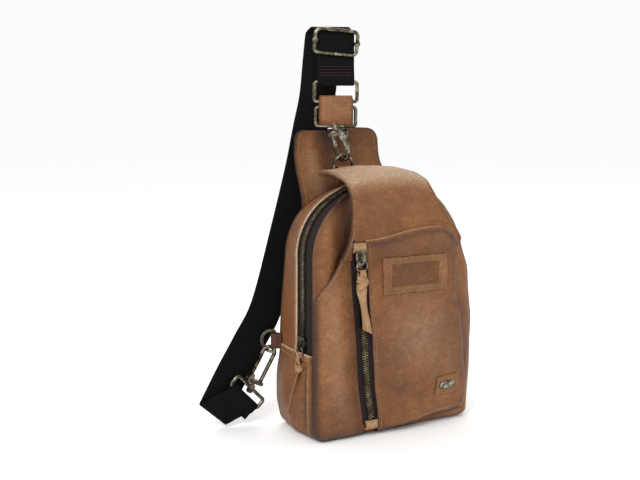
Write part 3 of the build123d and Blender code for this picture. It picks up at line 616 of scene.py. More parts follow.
def front_y(x, z):
    """The front's outer face: rounded in at its edges, full low down, a little hollow at the pocket zip."""
    zip_x = pocket_zip_x(z)
    if z > BASE_CORNER:
        full = rounding(edge_distance(x, z), lerp(13, 30, rise(105, 215, z)))
    else:
        full = min(rounding(HALF_WIDTH - abs(x), 13), rounding(max(z, 0.0), 14),
                   rounding(edge_distance(x, z), 10))
    channel = hump(x, zip_x - 2, 16)
    belly = 5.5 * (1 - 0.9 * channel) * rise(0, 60, z) * fall(70, 190, z) * max(0.0, 1 - (x / 92) ** 4)
    hollow = 1.8 * hump(x, zip_x - 4, 13) * rise(20, 60, z) * fall(175, 205, z)
    folds = wrinkle((x, 0, z * 0.8), 34, 3.0) + wrinkle((x * 1.5, 5, z * 0.55), 15, 1.5)
    return FRONT_JOIN - (11.5 + belly - hollow) * full - folds * (1 - 0.75 * channel) * min(full, 0.9)


def rear_inset(z):
    """The back of the bag is a little narrower than the front, mostly towards its top."""
    return lerp(1.0, 9.0, rise(90, 215, z))


def front_tuck(x, z):
    """At the right shoulder the front's seam lies a little inside the zip."""
    return 10.5 * rise(-10, 45, x) * rise(158, 198, z)


def tucked(x, z):
    """Front position moved in with that seam, fading out towards the middle of the front."""
    away = Vector((x, z - 150)).normalized()
    amount = front_tuck(x, z) * fall(0, 45, edge_distance(x, z))
    return x - away.x * amount, z - away.y * amount


def side_point(x, z, nx, nz, y, lift=0.0):
    """A point of the bag's side wall from its outline: narrowing towards the back, with soft folds."""
    inset = rear_inset(z) * rise(-6, 40, y)
    low = fall(70, 100, z)
    middle = math.sin(math.pi * min(max((y - FRONT_JOIN) / (GUSSET_BACK - FRONT_JOIN), 0), 1))
    swell = (2.4 * low + 0.8) * middle * abs(nx) ** 1.5
    fold = wrinkle((x, y * 1.2, z * 0.7), 26, 1.3) + wrinkle((z * 0.6, y * 2.2, x), 13, 0.5)
    pull = fold * rise(0, 12, z) * middle * (0.35 + 1.6 * low)
    pleat = 2.4 * hump(y, -27.5, 3.0) - 2.2 * hump(y, -22, 2.8)
    swell += pleat * low * rise(0, 30, z) * fall(60, 86, z)
    out = swell + pull - inset + lift - front_tuck(x, z) * rise(-CHAIN_Y, -FRONT_JOIN, -y)
    height = z + nz * out
    return mm(x + nx * out, y, max(height, 0.05) if nz < 0 else height)


def side_grid(place, total, rows, columns, front, back, lift_at):
    """Points of the side wall along an outline and from one depth to another; lift_at takes u and z."""
    grid = []
    for t in spread(rows):
        x, z, nx, nz = place(t * total)
        grid.append([side_point(x, z, nx, nz, lerp(front, back, u), lift_at(u, z)) for u in columns])
    return grid


def side_stitch(place, run, y, lift=0.0):
    """A point on the side wall for a stitch, and its outward direction."""
    x, z, nx, nz = place(run)
    return side_point(x, z, nx, nz, y, lift), Vector((nx, 0, nz))


# ---- side walls and back


def build_rear_strip():
    columns = spread(15, 0.4)
    grid = side_grid(arch_place, ARCH_RUN, 190, columns, GUSSET_FRONT, GUSSET_BACK,
                     lambda u, z: -2.0 * rise(0.94, 1, u))
    across = [0.35 * fall(0, 0.08, u) - 0.4 * rise(0.85, 1, u) for u in columns]
    sheet_piece("rear_side_strip", grid, BODY_LEATHER, leather, shade_and_wear=[across] * len(grid), edge=raw_edge,
                flip=True, replaces=["rear_gusset"])
    seam_y = lerp(GUSSET_FRONT, GUSSET_BACK, 0.065)
    seam = [side_stitch(arch_place, t * ARCH_RUN, seam_y) for t in spread(400)]
    stitch_piece("rear_strip_stitches", [seam])


def wrap_shading(u, z, nx):
    """Painted shade and highlights on the lower wrap: painted shade along its seams, a painted highlight and a
    painted shade streak along the pleat beside the front, darker towards the base and paler at its upper hem.
    """
    pleat = rise(0, 26, z) * fall(58, 80, z) * abs(nx)
    seams = -0.95 * fall(0, 0.07, u) - 0.5 * rise(0.88, 1, u)
    folded = pleat * (0.35 * hump(u, 0.10, 0.03) - 0.75 * hump(u, 0.17, 0.03))
    return seams + folded - 0.35 * fall(0, 14, z) + 0.3 * rise(85, 88, z)


def build_lower_wrap():
    columns, rows = spread(30, 0.5), 150

    def lift(u, z):
        return -1.5 * fall(0, 0.05, u) - 0.8 * rise(0.95, 1, u) + 1.6 * rise(80, 83, z)

    grid = side_grid(base_place, BASE_RUN, rows, columns, FRONT_JOIN, GUSSET_BACK, lift)
    shade_and_wear = []
    for t in spread(rows):
        _, z, nx, _ = base_place(t * BASE_RUN)
        shade_and_wear.append([wrap_shading(u, z, nx) for u in columns])
    sheet_piece("lower_side_wrap", grid, BODY_LEATHER, leather, shade_and_wear=shade_and_wear, edge=raw_edge,
                replaces=["lower_gusset"])
    depths = [lerp(FRONT_JOIN + 2, GUSSET_BACK - 2, t) for t in spread(50)]
    stitch_piece("lower_wrap_stitches", [[side_stitch(base_place, run, y, 1.5) for y in depths]
                                         for run in (5.0, BASE_RUN - 5.0)])


build_rear_strip()
build_lower_wrap()


def back_y(x, z):
    """The padded back: crowned, with a rounded seam edge."""
    wide = max(outline_x(z) - rear_inset(z), 1.0)
    crown = 4.5 * max(0.0, 1 - (x / wide) ** 2) * rise(0, 50, z) * fall(215, 262, z)
    edge = min(edge_distance(x, z) if abs(x) < HALF_WIDTH else 0, 60) - rear_inset(z) * rise(20, 120, z)
    edge = max(edge, 0)
    return GUSSET_BACK + 3.4 * rounding(edge, 7) + crown + wrinkle((x, 9, z), 40, 1.2) * rounding(edge, 20)


def back_place(x, z):
    """A point of the padded back from its place on the full outline, moved in like the side wall's edge."""
    outline = max(outline_x(z), 0.1)
    slope = 0.0
    if z > SHOULDER_TOP:
        slope = (z - CROWN_Z) / CROWN_R
    elif z > SHOULDER_HEIGHT:
        slope = (z - SHOULDER_HEIGHT) / SHOULDER_R
    across = math.sqrt(max(1 - slope * slope, 0.0))
    wide = max(outline - across * rear_inset(z), 0.0)
    return mm(x * wide / outline, back_y(x, z), z - slope * rear_inset(z))


BACK_STITCH_INSET = 8.0


def build_back():
    columns = spread(60, 0.85)
    grid, shade_and_wear = [], []
    for v in spread(80, 0.8):
        z = lerp(0.4, TOP_HEIGHT, v)
        outline = outline_x(z)
        grid.append([back_place(lerp(-outline, outline, u), z) for u in columns])
        shade_and_wear.append([-0.6 * fall(0, 12, edge_distance(lerp(-HALF_WIDTH, HALF_WIDTH, u), z)) for u in columns])
    back = sheet_piece("padded_back", grid, BODY_LEATHER, leather, shade_and_wear=shade_and_wear, flip=True,
                       replaces=["back_panel"])
    paths = []
    for place, whole in ((arch_place, ARCH_RUN), (base_place, BASE_RUN)):
        path = []
        for t in spread(400):
            x, z, nx, nz = place(t * whole)
            stitch = back_place(x - nx * BACK_STITCH_INSET, z - nz * BACK_STITCH_INSET)
            path.append((stitch, Vector((0, 1, 0))))
        paths.append(path)
    stitch_piece("back_stitches", paths)


build_back()

# ---- front panels


def upright_sheet(name, lows, highs, heights, rows, columns, surface, thickness, material=leather,
                  shade_and_wear_at=None, place=lambda x, z: (x, z), **extra):
    """A sheet whose left and right edges are given by height; place says where its seams are moved to."""
    grid, shade_and_wear = [], []
    for v in rows:
        z = lerp(*heights, v)
        line = [lerp(lows(z), highs(z), u) for u in columns]
        placed = [(place(x, z), surface(x, z)) for x in line]
        grid.append([mm(px, y, pz) for (px, pz), y in placed])
        shade_and_wear.append([shade_and_wear_at(x, z) if shade_and_wear_at else 0.0 for x in line])
    return sheet_piece(name, grid, thickness, material, shade_and_wear=shade_and_wear, **extra)


def front_base(x, z):
    """Under layer of the front: puffed beside the zip and sunk towards the yoke's free edge."""
    sunk = 5.0 * rise(-86, -64, x) * fall(-60, -40, x) * rise(150, 185, z)
    puff = 2.0 * hump(x, -84, 8) * rise(160, 190, z) * fall(215, 240, z)
    under_zip = 1.8 * hump(x, pocket_zip_x(z), 11)
    return front_y(x, z) + (1.4 + under_zip + sunk - puff) * rounding(edge_distance(x, z), 10)


# Painted shadow on the under layer beneath the yoke's free edge, and painted shade along its outline seam.
def inner_front_shading(x, z):
    return -0.65 * rise(-84, -62, x) * fall(-50, -40, x) - 0.35 * fall(0, 7, edge_distance(x, z))


def overlay(x, z):
    """Outer face of the panels sewn on to the front."""
    return front_y(x, z) - 1.0 * rounding(edge_distance(x, z), 8)


def diagonal_x(z):
    """Left boundary of the left panel: the outline, then the yoke's slanting free edge."""
    if z < 146:
        return -outline_x(z)
    return lerp(-HALF_WIDTH, -71, rise(140, 190, z) * 0.35 + 0.65 * (z - 146) / 40)


def left_lift(x, z):
    """The slanting edge stands a little off the under layer."""
    return overlay(x, z) - 2.2 * fall(0, 12, x - diagonal_x(z)) * rise(150, 178, z)


def left_edge_of_zip(z):
    return pocket_zip_x(z) - ZIP_MARGIN


def right_edge_of_zip(z):
    return pocket_zip_x(z) + ZIP_MARGIN


# Painted shade along the outline seam and beside the pocket zip, a painted highlight band on a soft fold left
# of the zip, and darker towards the base.
def left_front_shading(x, z):
    right = left_edge_of_zip(z)
    edges = -0.85 * fall(0, 6, min(edge_distance(x, z), 30)) - 0.3 * fall(0, 18, z)
    return edges - 0.3 * hump(x, right - 6, 9) + 0.22 * hump(x, right - 26, 11) * rise(10, 50, z)


def pocket_right_x(z):
    """The pocket's right seam leans out towards the base."""
    return lerp(68.5, 83, fall(20, 175, z) ** 1.2) if z > 20 else 83 - (20 - z) * 0.3


def pocket_bottom_z(x):
    """The pocket's lower seam lifts towards its right corner."""
    return 1.4 + 12.5 * rise(-40, 92, x) ** 0.8


def right_panel_left(z):
    """The right panel runs on below the pocket as a narrow strip along the base."""
    return lerp(right_edge_of_zip(z) + 2, pocket_right_x(z) - 4, rise(15, 26, z))


# Painted shade along the outline seam and along the panel's left edge, and a painted shade line below the
# pocket's lower seam.
def right_front_shading(x, z):
    seams = -0.5 * fall(0, 8, edge_distance(x, z)) - 0.9 * fall(4, 9, x - right_panel_left(z))
    return seams - 0.6 * hump(z, pocket_bottom_z(x), 3) * (x < pocket_right_x(z))


upright_sheet("inner_front", lambda z: -outline_x(z), outline_x, (0.6, TOP_HEIGHT - 0.1), spread(150, 0.75),
              spread(110, 0.8), front_base, INNER_LEATHER, shade_and_wear_at=inner_front_shading,
              place=lambda x, z: tucked(x * 0.997, z), replaces=["front_panel"])
upright_sheet("left_front", diagonal_x, left_edge_of_zip, (0.5, 186), spread(130, 0.5), spread(60, 0.6),
              left_lift, PANEL_LEATHER, shade_and_wear_at=left_front_shading, place=tucked, edge=dark_edge,
              replaces=["front_left_panel"])
upright_sheet("right_front", right_panel_left, outline_x, (0.5, 212), spread(150, 0.5), spread(60, 0.6),
              overlay, PANEL_LEATHER, shade_and_wear_at=right_front_shading, place=tucked, replaces=["front_right_panel"])


def pocket_top_z(x):
    """The pocket's top seam rises to the right, then turns down into a rounded corner."""
    seam = lerp(204, 213.5, rise(-44, 34, x))
    return seam - 8.5 * rise(44, 66, x) ** 1.5 - 5 * rise(62, 69, x)


def pocket_y(x, z):
    """The pocket's outer face, stepped out from the front along its top, right and lower seams."""
    from_right = pocket_right_x(z) - x
    from_left = x - right_edge_of_zip(z)
    full = 4.8 + 1.6 * hump(x, 30, 34) * hump(z, 70, 60)
    step = rounding(from_right, 7) * rounding(pocket_top_z(x) - z, 6) * rounding(z - pocket_bottom_z(x), 11)
    left = lerp(0.36, 1.0, rise(0, 26, from_left))
    pull = wrinkle((x * 0.7, 21, z * 1.3), 19, 0.7)
    sag = 0.5 * math.sin(z / 26 + x / 50) * rise(0, 25, from_left) * rise(0, 20, from_right)
    corner = 1.8 * hump(x, 60, 10) * hump(z, 196, 9)
    base = front_y(min(x, pocket_right_x(z)), z)
    return base - 2.6 - (full * left + corner + pull + sag) * step


def pocket_shading(x, z, side, hem):
    """Painted highlights and shade on the pocket from its distances to its seams: painted highlights along its
    rolled top edge, on its right seam ridge and just above its lower seam, painted shade beneath the top edge
    and along the right and lower seams, a painted shadow under the yoke, and paler along the zip hem and in
    its middle.
    """
    top = pocket_top_z(x) - z
    low = z - pocket_bottom_z(x)
    pale = hump(top, 0, 1.3) + 0.15 * math.exp(-hem / 2) + 1.5 * hump(side, 0.6, 1.1)
    pale += 0.5 * hump(low, 5, 1.6) * rise(-20, 30, x) + 0.30 * hump(x, 20, 34) * hump(z, 105, 34)
    dark = 0.45 * hump(top, 5, 4) + 0.6 * math.exp(-side / 6) + 0.9 * math.exp(-low / 3.5)
    return pale - dark - 0.28 * rise(150, 185, z) * fall(190, 210, z)


def build_pocket():
    columns = spread(90, 0.6)
    grid, shade_and_wear = [], []
    for v in spread(130, 0.6):
        height = lerp(2.0, 208, v)
        left, right = right_edge_of_zip(height), pocket_right_x(height)
        line = [lerp(left, right, u) for u in columns]
        places = [(x, lerp(pocket_bottom_z(x), pocket_top_z(x), v)) for x in line]
        grid.append([mm(x, pocket_y(x, z), z) for x, z in places])
        shade_and_wear.append([pocket_shading(x, z, right - x, x - left) for x, z in places])
    sheet_piece("pocket_front", grid, PANEL_LEATHER, leather, shade_and_wear=shade_and_wear, edge=dark_edge,
                replaces=["pocket_panel"])


def outward(surface, x, z):
    """Outward direction of a front surface."""
    step = 0.8
    dx = (surface(x + step, z) - surface(x - step, z)) / (2 * step)
    dz = (surface(x, z + step) - surface(x, z - step)) / (2 * step)
    return Vector((dx, -1, dz)).normalized()


def surface_path(surface, places, lift=0.0):
    """Path on a front surface through (x, z) places, with its outward directions."""
    path = []
    for x, z in places:
        direction = outward(surface, x, z)
        path.append((mm(x, surface(x, z), z) + direction * lift * MM, direction))
    return path


build_pocket()
hem = [(right_edge_of_zip(z) + 2.6, z) for z in range(4, 201, 2)]
slant = [(diagonal_x(z) + 2.4, z) for z in range(147, 186)]
stitch_piece("pocket_stitches", [surface_path(pocket_y, hem)])
stitch_piece("left_front_stitches", [surface_path(left_lift, slant)])

# ---- yoke and neck flap

YOKE_PROFILE = [(-47.4, 184), (-48.2, 205), (-48.2, 228), (-47.6, 246), (-45.2, 258), (-40, 266),
                (-28, 271.4), (-10, 274), (10, 273.8), (30, 270.2), (41, 266)]
YOKE_LEFT = [-71, -62.5, -59, -59.5, -60.5, -61.5, -62, -61, -58, -51.5, -44]
YOKE_RIGHT = [66, 79, 63, 48, 41, 38, 37, 37, 38, 39, 40]
FLAP_PROFILE = [(41.5, 214), (42.2, 228), (46.5, 242), (53.5, 258), (59.0, 276), (62.0, 294), (64.0, 311)]
FLAP_HALF = [(210, 60), (226, 64), (240, 61), (254, 57.5), (276, 53.5), (292, 52.5), (301, 52), (306, 50),
             (309.5, 46.5), (311, 42)]


def profile_place(profile, t):
    return curve_value([y for y, _ in profile], t), curve_value([z for _, z in profile], t)


def yoke_point(u, t):
    """The yoke from its front edge, t = 0, up and over the zip to its back edge."""
    x = lerp(curve_value(YOKE_LEFT, t), curve_value(YOKE_RIGHT, t), u)
    y, z = profile_place(YOKE_PROFILE, t)
    arch_top = CROWN_Z + math.sqrt(max(CROWN_R ** 2 - x * x, 1))
    drop = (TOP_HEIGHT - arch_top) * (1.18 if x > 0 else 0.25)
    z = SHOULDER_HEIGHT + (z - SHOULDER_HEIGHT) * (1 - drop / (TOP_HEIGHT + 12 - SHOULDER_HEIGHT))
    if t < 0.62:
        lies = front_y(x, min(z, 236)) - 2.4 - 1.6 * fall(-58, -38, x) * rise(184, 200, z)
        y = lerp(y, min(lies, -44), fall(214, 244, z) * fall(0.45, 0.62, t))
    fold = wrinkle((x * 0.8, y, z), 27, 1.5) + wrinkle((x * 1.3, z, y), 12, 0.4)
    crest = rise(0.35, 0.6, t)
    return mm(x, y - fold * (1 - crest), z + fold * crest)


def yoke_stitch(u, t):
    """A point of the yoke for a stitch, and its outward direction."""
    across = yoke_point(u + 0.01, t) - yoke_point(u - 0.01, t)
    along = yoke_point(u, t + 0.01) - yoke_point(u, t - 0.01)
    return yoke_point(u, t), across.cross(along).normalized()


def build_yoke():
    rows, columns = spread(120), spread(100, 0.5)
    grid = [[yoke_point(u, t) for u in columns] for t in rows]
    along = [1.3 * rise(0.33, 0.56, t) - 0.25 * fall(0, 0.1, t) for t in rows]
    across = [-0.45 * fall(0, 0.03, u) - 0.3 * rise(0.95, 1, u) for u in columns]

    def keep(i, j):
        """Leave out the cells over the pocket zip."""
        p = (grid[i][j] + grid[i + 1][j + 1]) * 0.5 / MM
        return abs(p.x - pocket_zip_x(p.z)) >= ZIP_MARGIN + 0.4 or p.z >= 203.5

    sheet_piece("yoke_flap", grid, BODY_LEATHER, leather, shade_and_wear=[[a + b for a in across] for b in along],
                edge=dark_edge, replaces=["yoke"], keep=keep)
    stitch_piece("yoke_stitches", [[yoke_stitch(u, lerp(0.02, 0.98, t)) for t in spread(200)]
                                   for u in (0.018, 0.985)])


def flap_point(u, t):
    """The neck flap from its sewn lower edge, t = 0, up to its free top."""
    y, z = profile_place(FLAP_PROFILE, t)
    x = lerp(-1, 1, u) * table_value(FLAP_HALF, z)
    lean = -11.0 * rise(222, 290, z)
    hollow = 8.0 * hump(x, -4, 21) * rise(235, 275, z)
    curl = 3.0 * rise(34, 54, abs(x)) * rise(250, 300, z)
    wave = wrinkle((x, 3, z), 30, 2.0)
    return mm(x + lean, y + hollow - curl + wave, z + 1.4 * math.sin(x / 17) * rise(290, 311, z))


def build_neck_flap():
    rows, columns = spread(70, 0.6), spread(70, 0.5)
    grid = [[flap_point(u, t) for u in columns] for t in rows]
    # Painted highlight on the flap's left part and painted shadow of the hook down its middle; darker side
    # edges and darker towards the top.
    across = [0.30 * hump(u, 0.2, 0.09) - 0.65 * hump(u, 0.44, 0.13) - 0.5 * fall(0, 0.04, u)
              - 0.5 * rise(0.96, 1, u) for u in columns]
    shade_and_wear = [[a - 0.3 * rise(0.7, 1, t) for a in across] for t in rows]
    sheet_piece("neck_flap_leather", grid, BODY_LEATHER, leather, shade_and_wear=shade_and_wear, edge=dark_edge,
                replaces=["neck_flap"])
    sides = [[(flap_point(u, lerp(0.05, 0.97, t)), Vector((0, -1, 0))) for t in spread(121)]
             for u in (0.04, 0.96)]
    through = Vector((0, BODY_LEATHER * MM, 0))
    seam = [(flap_point(lerp(0.04, 0.96, t), 0.09) + through, Vector((0, 1, 0))) for t in spread(121)]
    stitch_piece("neck_flap_stitches", sides + [seam])


build_yoke()
build_neck_flap()

# ---- label, tag and emblem plate

LABEL = (-24.5, 52.5, 147.5, 184.5)
LABEL_PANEL = (-15, 43, 154, 178)
TAG = (38, 67, 36, 55)
PATCH_THICKNESS = 1.0
EMBLEM_X, EMBLEM_Z, EMBLEM_HALF, EMBLEM_RADIUS, EMBLEM_POINTS = 52, 45.5, 6.0, 4.0, 40
EMBLEM_RINGS = ((1.0, 1.3), (1.0, 2.4), (0.92, 2.9), (0.66, 2.9), (0.58, 2.3), (0.0, 2.3))


def pocket_place(x, z, lift):
    return surface_path(pocket_y, [(x, z)], lift)[0][0]


def within(low, high, value):
    """1 between low and high, with a millimetre's soft step at both."""
    return min(rise(low - 0.5, low + 0.5, value), fall(high - 0.5, high + 0.5, value))


def label_lift(x, z):
    """The label's face above the pocket, sunk within its inner panel."""
    x0, x1, z0, z1 = LABEL_PANEL
    return 1.5 - 0.75 * min(within(x0, x1, x), within(z0, z1, z))


def patch_piece(name, box, lift_at, replaces, rows, columns):
    x0, x1, z0, z1 = box
    grid, shade_and_wear = [], []
    for v in spread(rows, 0.1):
        z = lerp(z0, z1, v)
        lifts = [(x, lift_at(x, z)) for x in (lerp(x0, x1, u) for u in spread(columns, 0.1))]
        grid.append([pocket_place(x, z, lift) for x, lift in lifts])
        shade_and_wear.append([0.1 - 0.45 * (lift < 0.9) for _, lift in lifts])
    return sheet_piece(name, grid, PATCH_THICKNESS, leather, shade_and_wear=shade_and_wear, replaces=replaces)


def ring_paths(box, inset_x, inset_z, lift):
    """Four straight paths on the pocket, inside a box."""
    x0, x1, z0, z1 = box[0] + inset_x, box[1] - inset_x, box[2] + inset_z, box[3] - inset_z
    corners = [(x0, z0), (x1, z0), (x1, z1), (x0, z1), (x0, z0)]
    return [surface_path(pocket_y, [(lerp(ax, bx, t), lerp(az, bz, t)) for t in spread(60)], lift)
            for (ax, az), (bx, bz) in zip(corners, corners[1:])]


def build_emblem():
    """A plain metal oblong with a sunk middle, standing on the tag."""
    points, faces = [], []
    for size, height in EMBLEM_RINGS:
        for k in range(EMBLEM_POINTS):
            angle = 2 * math.pi * k / EMBLEM_POINTS
            across = math.cos(angle)
            straight = math.copysign(EMBLEM_HALF, across) if abs(across) > 1e-6 else 0
            x = (straight + EMBLEM_RADIUS * across) * (0.35 + 0.65 * size) * (size > 0)
            z = EMBLEM_RADIUS * math.sin(angle) * size
            points.append(pocket_place(EMBLEM_X + x, EMBLEM_Z + z, height))
    for low in range(0, len(points) - EMBLEM_POINTS, EMBLEM_POINTS):
        for k in range(EMBLEM_POINTS):
            a, b = low + k, low + (k + 1) % EMBLEM_POINTS
            faces.append((a, b, b + EMBLEM_POINTS, a + EMBLEM_POINTS))
    faces.append(tuple(range(EMBLEM_POINTS))[::-1])
    make_piece("emblem_plate", points, faces, antique_brass, "antique_brass", solid=True,
               replaces=["corner_stud"])


patch_piece("label_leather", LABEL, label_lift, ["label_patch"], 80, 150)
stitch_piece("label_stitches", ring_paths(LABEL, 2.2, 1.65, 1.5) + ring_paths(LABEL, 7.0, 5.25, 1.5),
             pitch=2.5, radius=0.38)
patch_piece("tag_leather", TAG, lambda x, z: 1.4, ["corner_tag"], 20, 30)
stitch_piece("tag_stitches", ring_paths(TAG, 2, 1.8, 1.35), pitch=2.5, radius=0.36)
build_emblem()

# ---- zips

TAPE_END = 6
CHAIN_SINK = -2.7
TOOTH_PITCH, TOOTH_WIDTH, TOOTH_HEIGHT, TOOTH_LENGTH, TOOTH_OFFSET = 2.5, 1.0, 2.0, 3.7, 1.5
TOOTH_PROFILE = [(-0.5, 0), (-0.5, 0.62), (-0.28, 1), (0.28, 1), (0.5, 0.62), (0.5, 0)]


def tape_place(run):
    """The arch, running straight on below both its ends."""
    run -= TAPE_END
    x, z, nx, nz = arch_place(min(max(run, 0), ARCH_RUN))
    return x, z + min(run, 0) - max(run - ARCH_RUN, 0), nx, nz


def build_main_tape(name, near, far, near_lift, far_lift, replaces):
    """One cloth tape of the main zip, from its edge by the chain out to its sewn edge."""
    rows, columns = spread(190), spread(9)
    whole = ARCH_RUN + 2 * TAPE_END
    grid = side_grid(tape_place, whole, len(rows), columns, near, far,
                     lambda u, z: lerp(near_lift, far_lift, u ** 1.5))
    marks = [[(lerp(near, far, u) * MM, (t * whole - TAPE_END) * MM) for u in columns] for t in rows]
    sheet_piece(name, grid, CLOTH, tape_cloth, "zip_tape", replaces=replaces, flip=far > near, uvs=marks)


def build_teeth(name, places, replaced):
    """Small chamfered teeth; each place is (centre, across, along, out)."""
    points, faces = [], []
    count = len(TOOTH_PROFILE)
    for centre, across, along, out in places:
        base = len(points)
        for end in (-0.5, 0.5):
            for a, h in TOOTH_PROFILE:
                offset = across * (end * TOOTH_LENGTH) + along * (a * TOOTH_WIDTH) + out * (h * TOOTH_HEIGHT)
                points.append(centre + offset * MM)
        faces.append(tuple(base + k for k in range(count)))
        faces.append(tuple(base + count + k for k in range(count))[::-1])
        for k in range(count):
            a, b = base + k, base + (k + 1) % count
            faces.append((b, a, a + count, b + count))
    make_piece(name, points, faces, zip_brass, "zip_brass", smooth=False, solid=True, replaces=[replaced])


def tooth_steps(start, side, end):
    """Places along a chain; the teeth of its two sides alternate."""
    place = start + (0.5 if side > 0 else 0) * TOOTH_PITCH
    while place < end:
        yield place
        place += TOOTH_PITCH


def build_main_zip():
    build_main_tape("main_zip_tape_rear", CHAIN_Y + 0.6, 6, CHAIN_SINK, -2.9, ["main_tape_rear"])
    build_main_tape("main_zip_tape_front", CHAIN_Y - 0.6, FRONT_JOIN, CHAIN_SINK, -0.9, ["main_tape_front"])
    for side, name in ((1, "rear"), (-1, "front")):
        places = []
        for run in tooth_steps(4.0, side, ARCH_RUN - 4):
            centre, out = side_stitch(arch_place, run, CHAIN_Y + side * TOOTH_OFFSET, CHAIN_SINK)
            places.append((centre, Vector((0, 1, 0)), Vector((out.z, 0, -out.x)), out))
        build_teeth(f"main_zip_teeth_{name}", places, f"main_teeth_{name}")


def tape_face(x, z):
    return front_y(x, z) - 1.4


def build_pocket_zip():
    for side, name in ((-1, "left"), (1, "right")):
        grid, marks = [], []
        for v in spread(110):
            z = lerp(14, 205, v)
            centre = pocket_zip_x(z)
            line = [centre + side * lerp(0.5, ZIP_MARGIN + 1.5, u) for u in spread(6)]
            grid.append([mm(x, tape_face(x, z), z) for x in line])
            marks.append([((x - centre) * MM, z * MM) for x in line])
        sheet_piece(f"pocket_zip_tape_{name}", grid, CLOTH, tape_cloth, "zip_tape", flip=side < 0, uvs=marks,
                    replaces=[f"pocket_tape_{name}"])
        places = []
        for z in tooth_steps(20.0, side, 190):
            x = pocket_zip_x(z) + side * TOOTH_OFFSET
            out = outward(tape_face, x, z)
            along = Vector((pocket_zip_x(z + 1) - pocket_zip_x(z), 0, 1)).normalized()
            places.append((mm(x, tape_face(x, z), z), out.cross(along).normalized(), along, out))
        build_teeth(f"pocket_zip_teeth_{name}", places, f"pocket_teeth_{name}")


def build_zip_tab(name, z_low, z_high, replaces, lift):
    """A folded scrap of leather over the end of the pocket zip, nipped in at its middle."""
    def along(z):
        return (z - z_low) / (z_high - z_low)

    def nip(z):
        return 0.8 * math.sin(math.pi * along(z))

    upright_sheet(
        name, lambda z: left_edge_of_zip(z) + 0.6 + nip(z), lambda z: right_edge_of_zip(z) - 0.6 - nip(z),
        (z_low, z_high), spread(16, 0.5), spread(20, 0.3),
        lambda x, z: tape_face(x, z) - lift - nip(z) + wrinkle((x, 0, z), 5, 0.8), 1.6, lace,
        shade_and_wear_at=lambda x, z: 0.35 - 0.5 * abs(along(z) - 0.5), replaces=replaces)


build_main_zip()
build_pocket_zip()
build_zip_tab("pocket_zip_top_tab", 192, 201.5, ["pocket_top_tab"], 2.2)
build_zip_tab("pocket_zip_bottom_tab", 8, 17.5, ["pocket_bottom_tab"], 2.0)

# ---- ribbons: webbing, straps and thongs


def ribbon_grid(centres, width_dirs, width, columns, edge_cut, square):
    """Grid of a strip along a line of centres, its own coordinates and its length.

    width is a function of 0..1 along it. Unless square, its rows keep the slant of their given directions.
    """
    count = len(centres)
    grid, marks, run = [], [], 0.0
    for i, (centre, direction) in enumerate(zip(centres, width_dirs)):
        if i:
            run += (centre - centres[i - 1]).length
        ahead = (centres[min(i + 1, count - 1)] - centres[max(i - 1, 0)]).normalized()
        across = (direction - ahead * direction.dot(ahead) * square).normalized()
        t = i / (count - 1)
        size = width(t) * MM
        cut = ahead * (edge_cut * MM * rise(0.8, 1.0, t))
        steps = [u - 0.5 for u in spread(columns)]
        grid.append([centre + across * (step * size) + cut * step for step in steps])
        marks.append([(step * size, run) for step in steps])
    return grid, marks, run


def ribbon_piece(name, stations, per_span, width, columns, thickness, material, slot="leather", shade_and_wear_at=None,
                 edge_cut=0.0, square=True, woven=False, **extra):
    """A strip centred on a line of stations, each a place and a direction across it. Also returns its length.

    width is in mm, or a function of 0..1 along it. shade_and_wear_at takes the places across and along the strip.
    """
    centres = smooth_line([centre for centre, _ in stations], per_span)
    directions = [d.normalized() for d in smooth_line([direction for _, direction in stations], per_span)]
    width_at = width if callable(width) else lambda t: width
    grid, marks, length = ribbon_grid(centres, directions, width_at, columns, edge_cut, square)
    flat = [p for row in grid for p in row]
    normals = surface_normals(flat, grid_faces(len(grid), columns))
    outer = [p + normal * thickness * MM / 2 for p, normal in zip(flat, normals)]
    outer = [outer[start:start + columns] for start in range(0, len(outer), columns)]
    shade_and_wear = shade_and_wear_at and [[shade_and_wear_at(u, i / len(grid)) for u in spread(columns)] for i in range(len(grid))]
    piece = sheet_piece(name, outer, thickness, material, slot, shade_and_wear=shade_and_wear,
                        uvs=marks if woven else None, **extra)
    return piece, length


FACING = math.radians(25)
ACROSS = Vector((math.cos(FACING), -math.sin(FACING), 0))
BEHIND = Vector((math.sin(FACING), math.cos(FACING), 0))
STRAP_X, STRAP_Y = -19.0, 50.0
WEBBING_WIDTH, WEBBING_THICKNESS = 38.0, 1.8
TOP_LOOP = ((2.0, 386), (2.0, 380), (2.05, 373), (3.1, 367), (3.25, 362.5), (2.35, 359.8), (0, 358.7),
            (-2.35, 359.8), (-3.25, 362.5), (-2.9, 367), (-0.9, 373), (0, 379), (0, 388), (0, 398), (0, 406))
LONG_RUN = (
    ((-26, 70, 385), (0.906, -0.42, -0.04)), ((-29, 73, 345), (0.91, -0.38, -0.1)),
    ((-36, 76.5, 311), (0.955, -0.2, -0.2)), ((-51, 70, 265), (0.95, -0.08, -0.29)),
    ((-74.5, 62, 199.7), (0.943, 0, -0.333)), ((-99.3, 58, 125.2), (0.934, 0, -0.358)),
    ((-121, 57.5, 88), (0.88, 0, -0.47)), ((-142, 57.8, 54), (0.80, 0, -0.60)),
    ((-158, 58, 27), (0.75, 0, -0.66)), ((-162.3, 58, 19.6), (0.742, 0, -0.67)),
)
SEWN_FACE = ((367, -3.85), (373, -1.85), (379, -0.95))


def strap_place(depth, z, shift=0.0):
    """A place on the upright part of the strap, which faces a little to the left."""
    return (Vector((STRAP_X, STRAP_Y, z)) + BEHIND * depth + ACROSS * shift) * MM


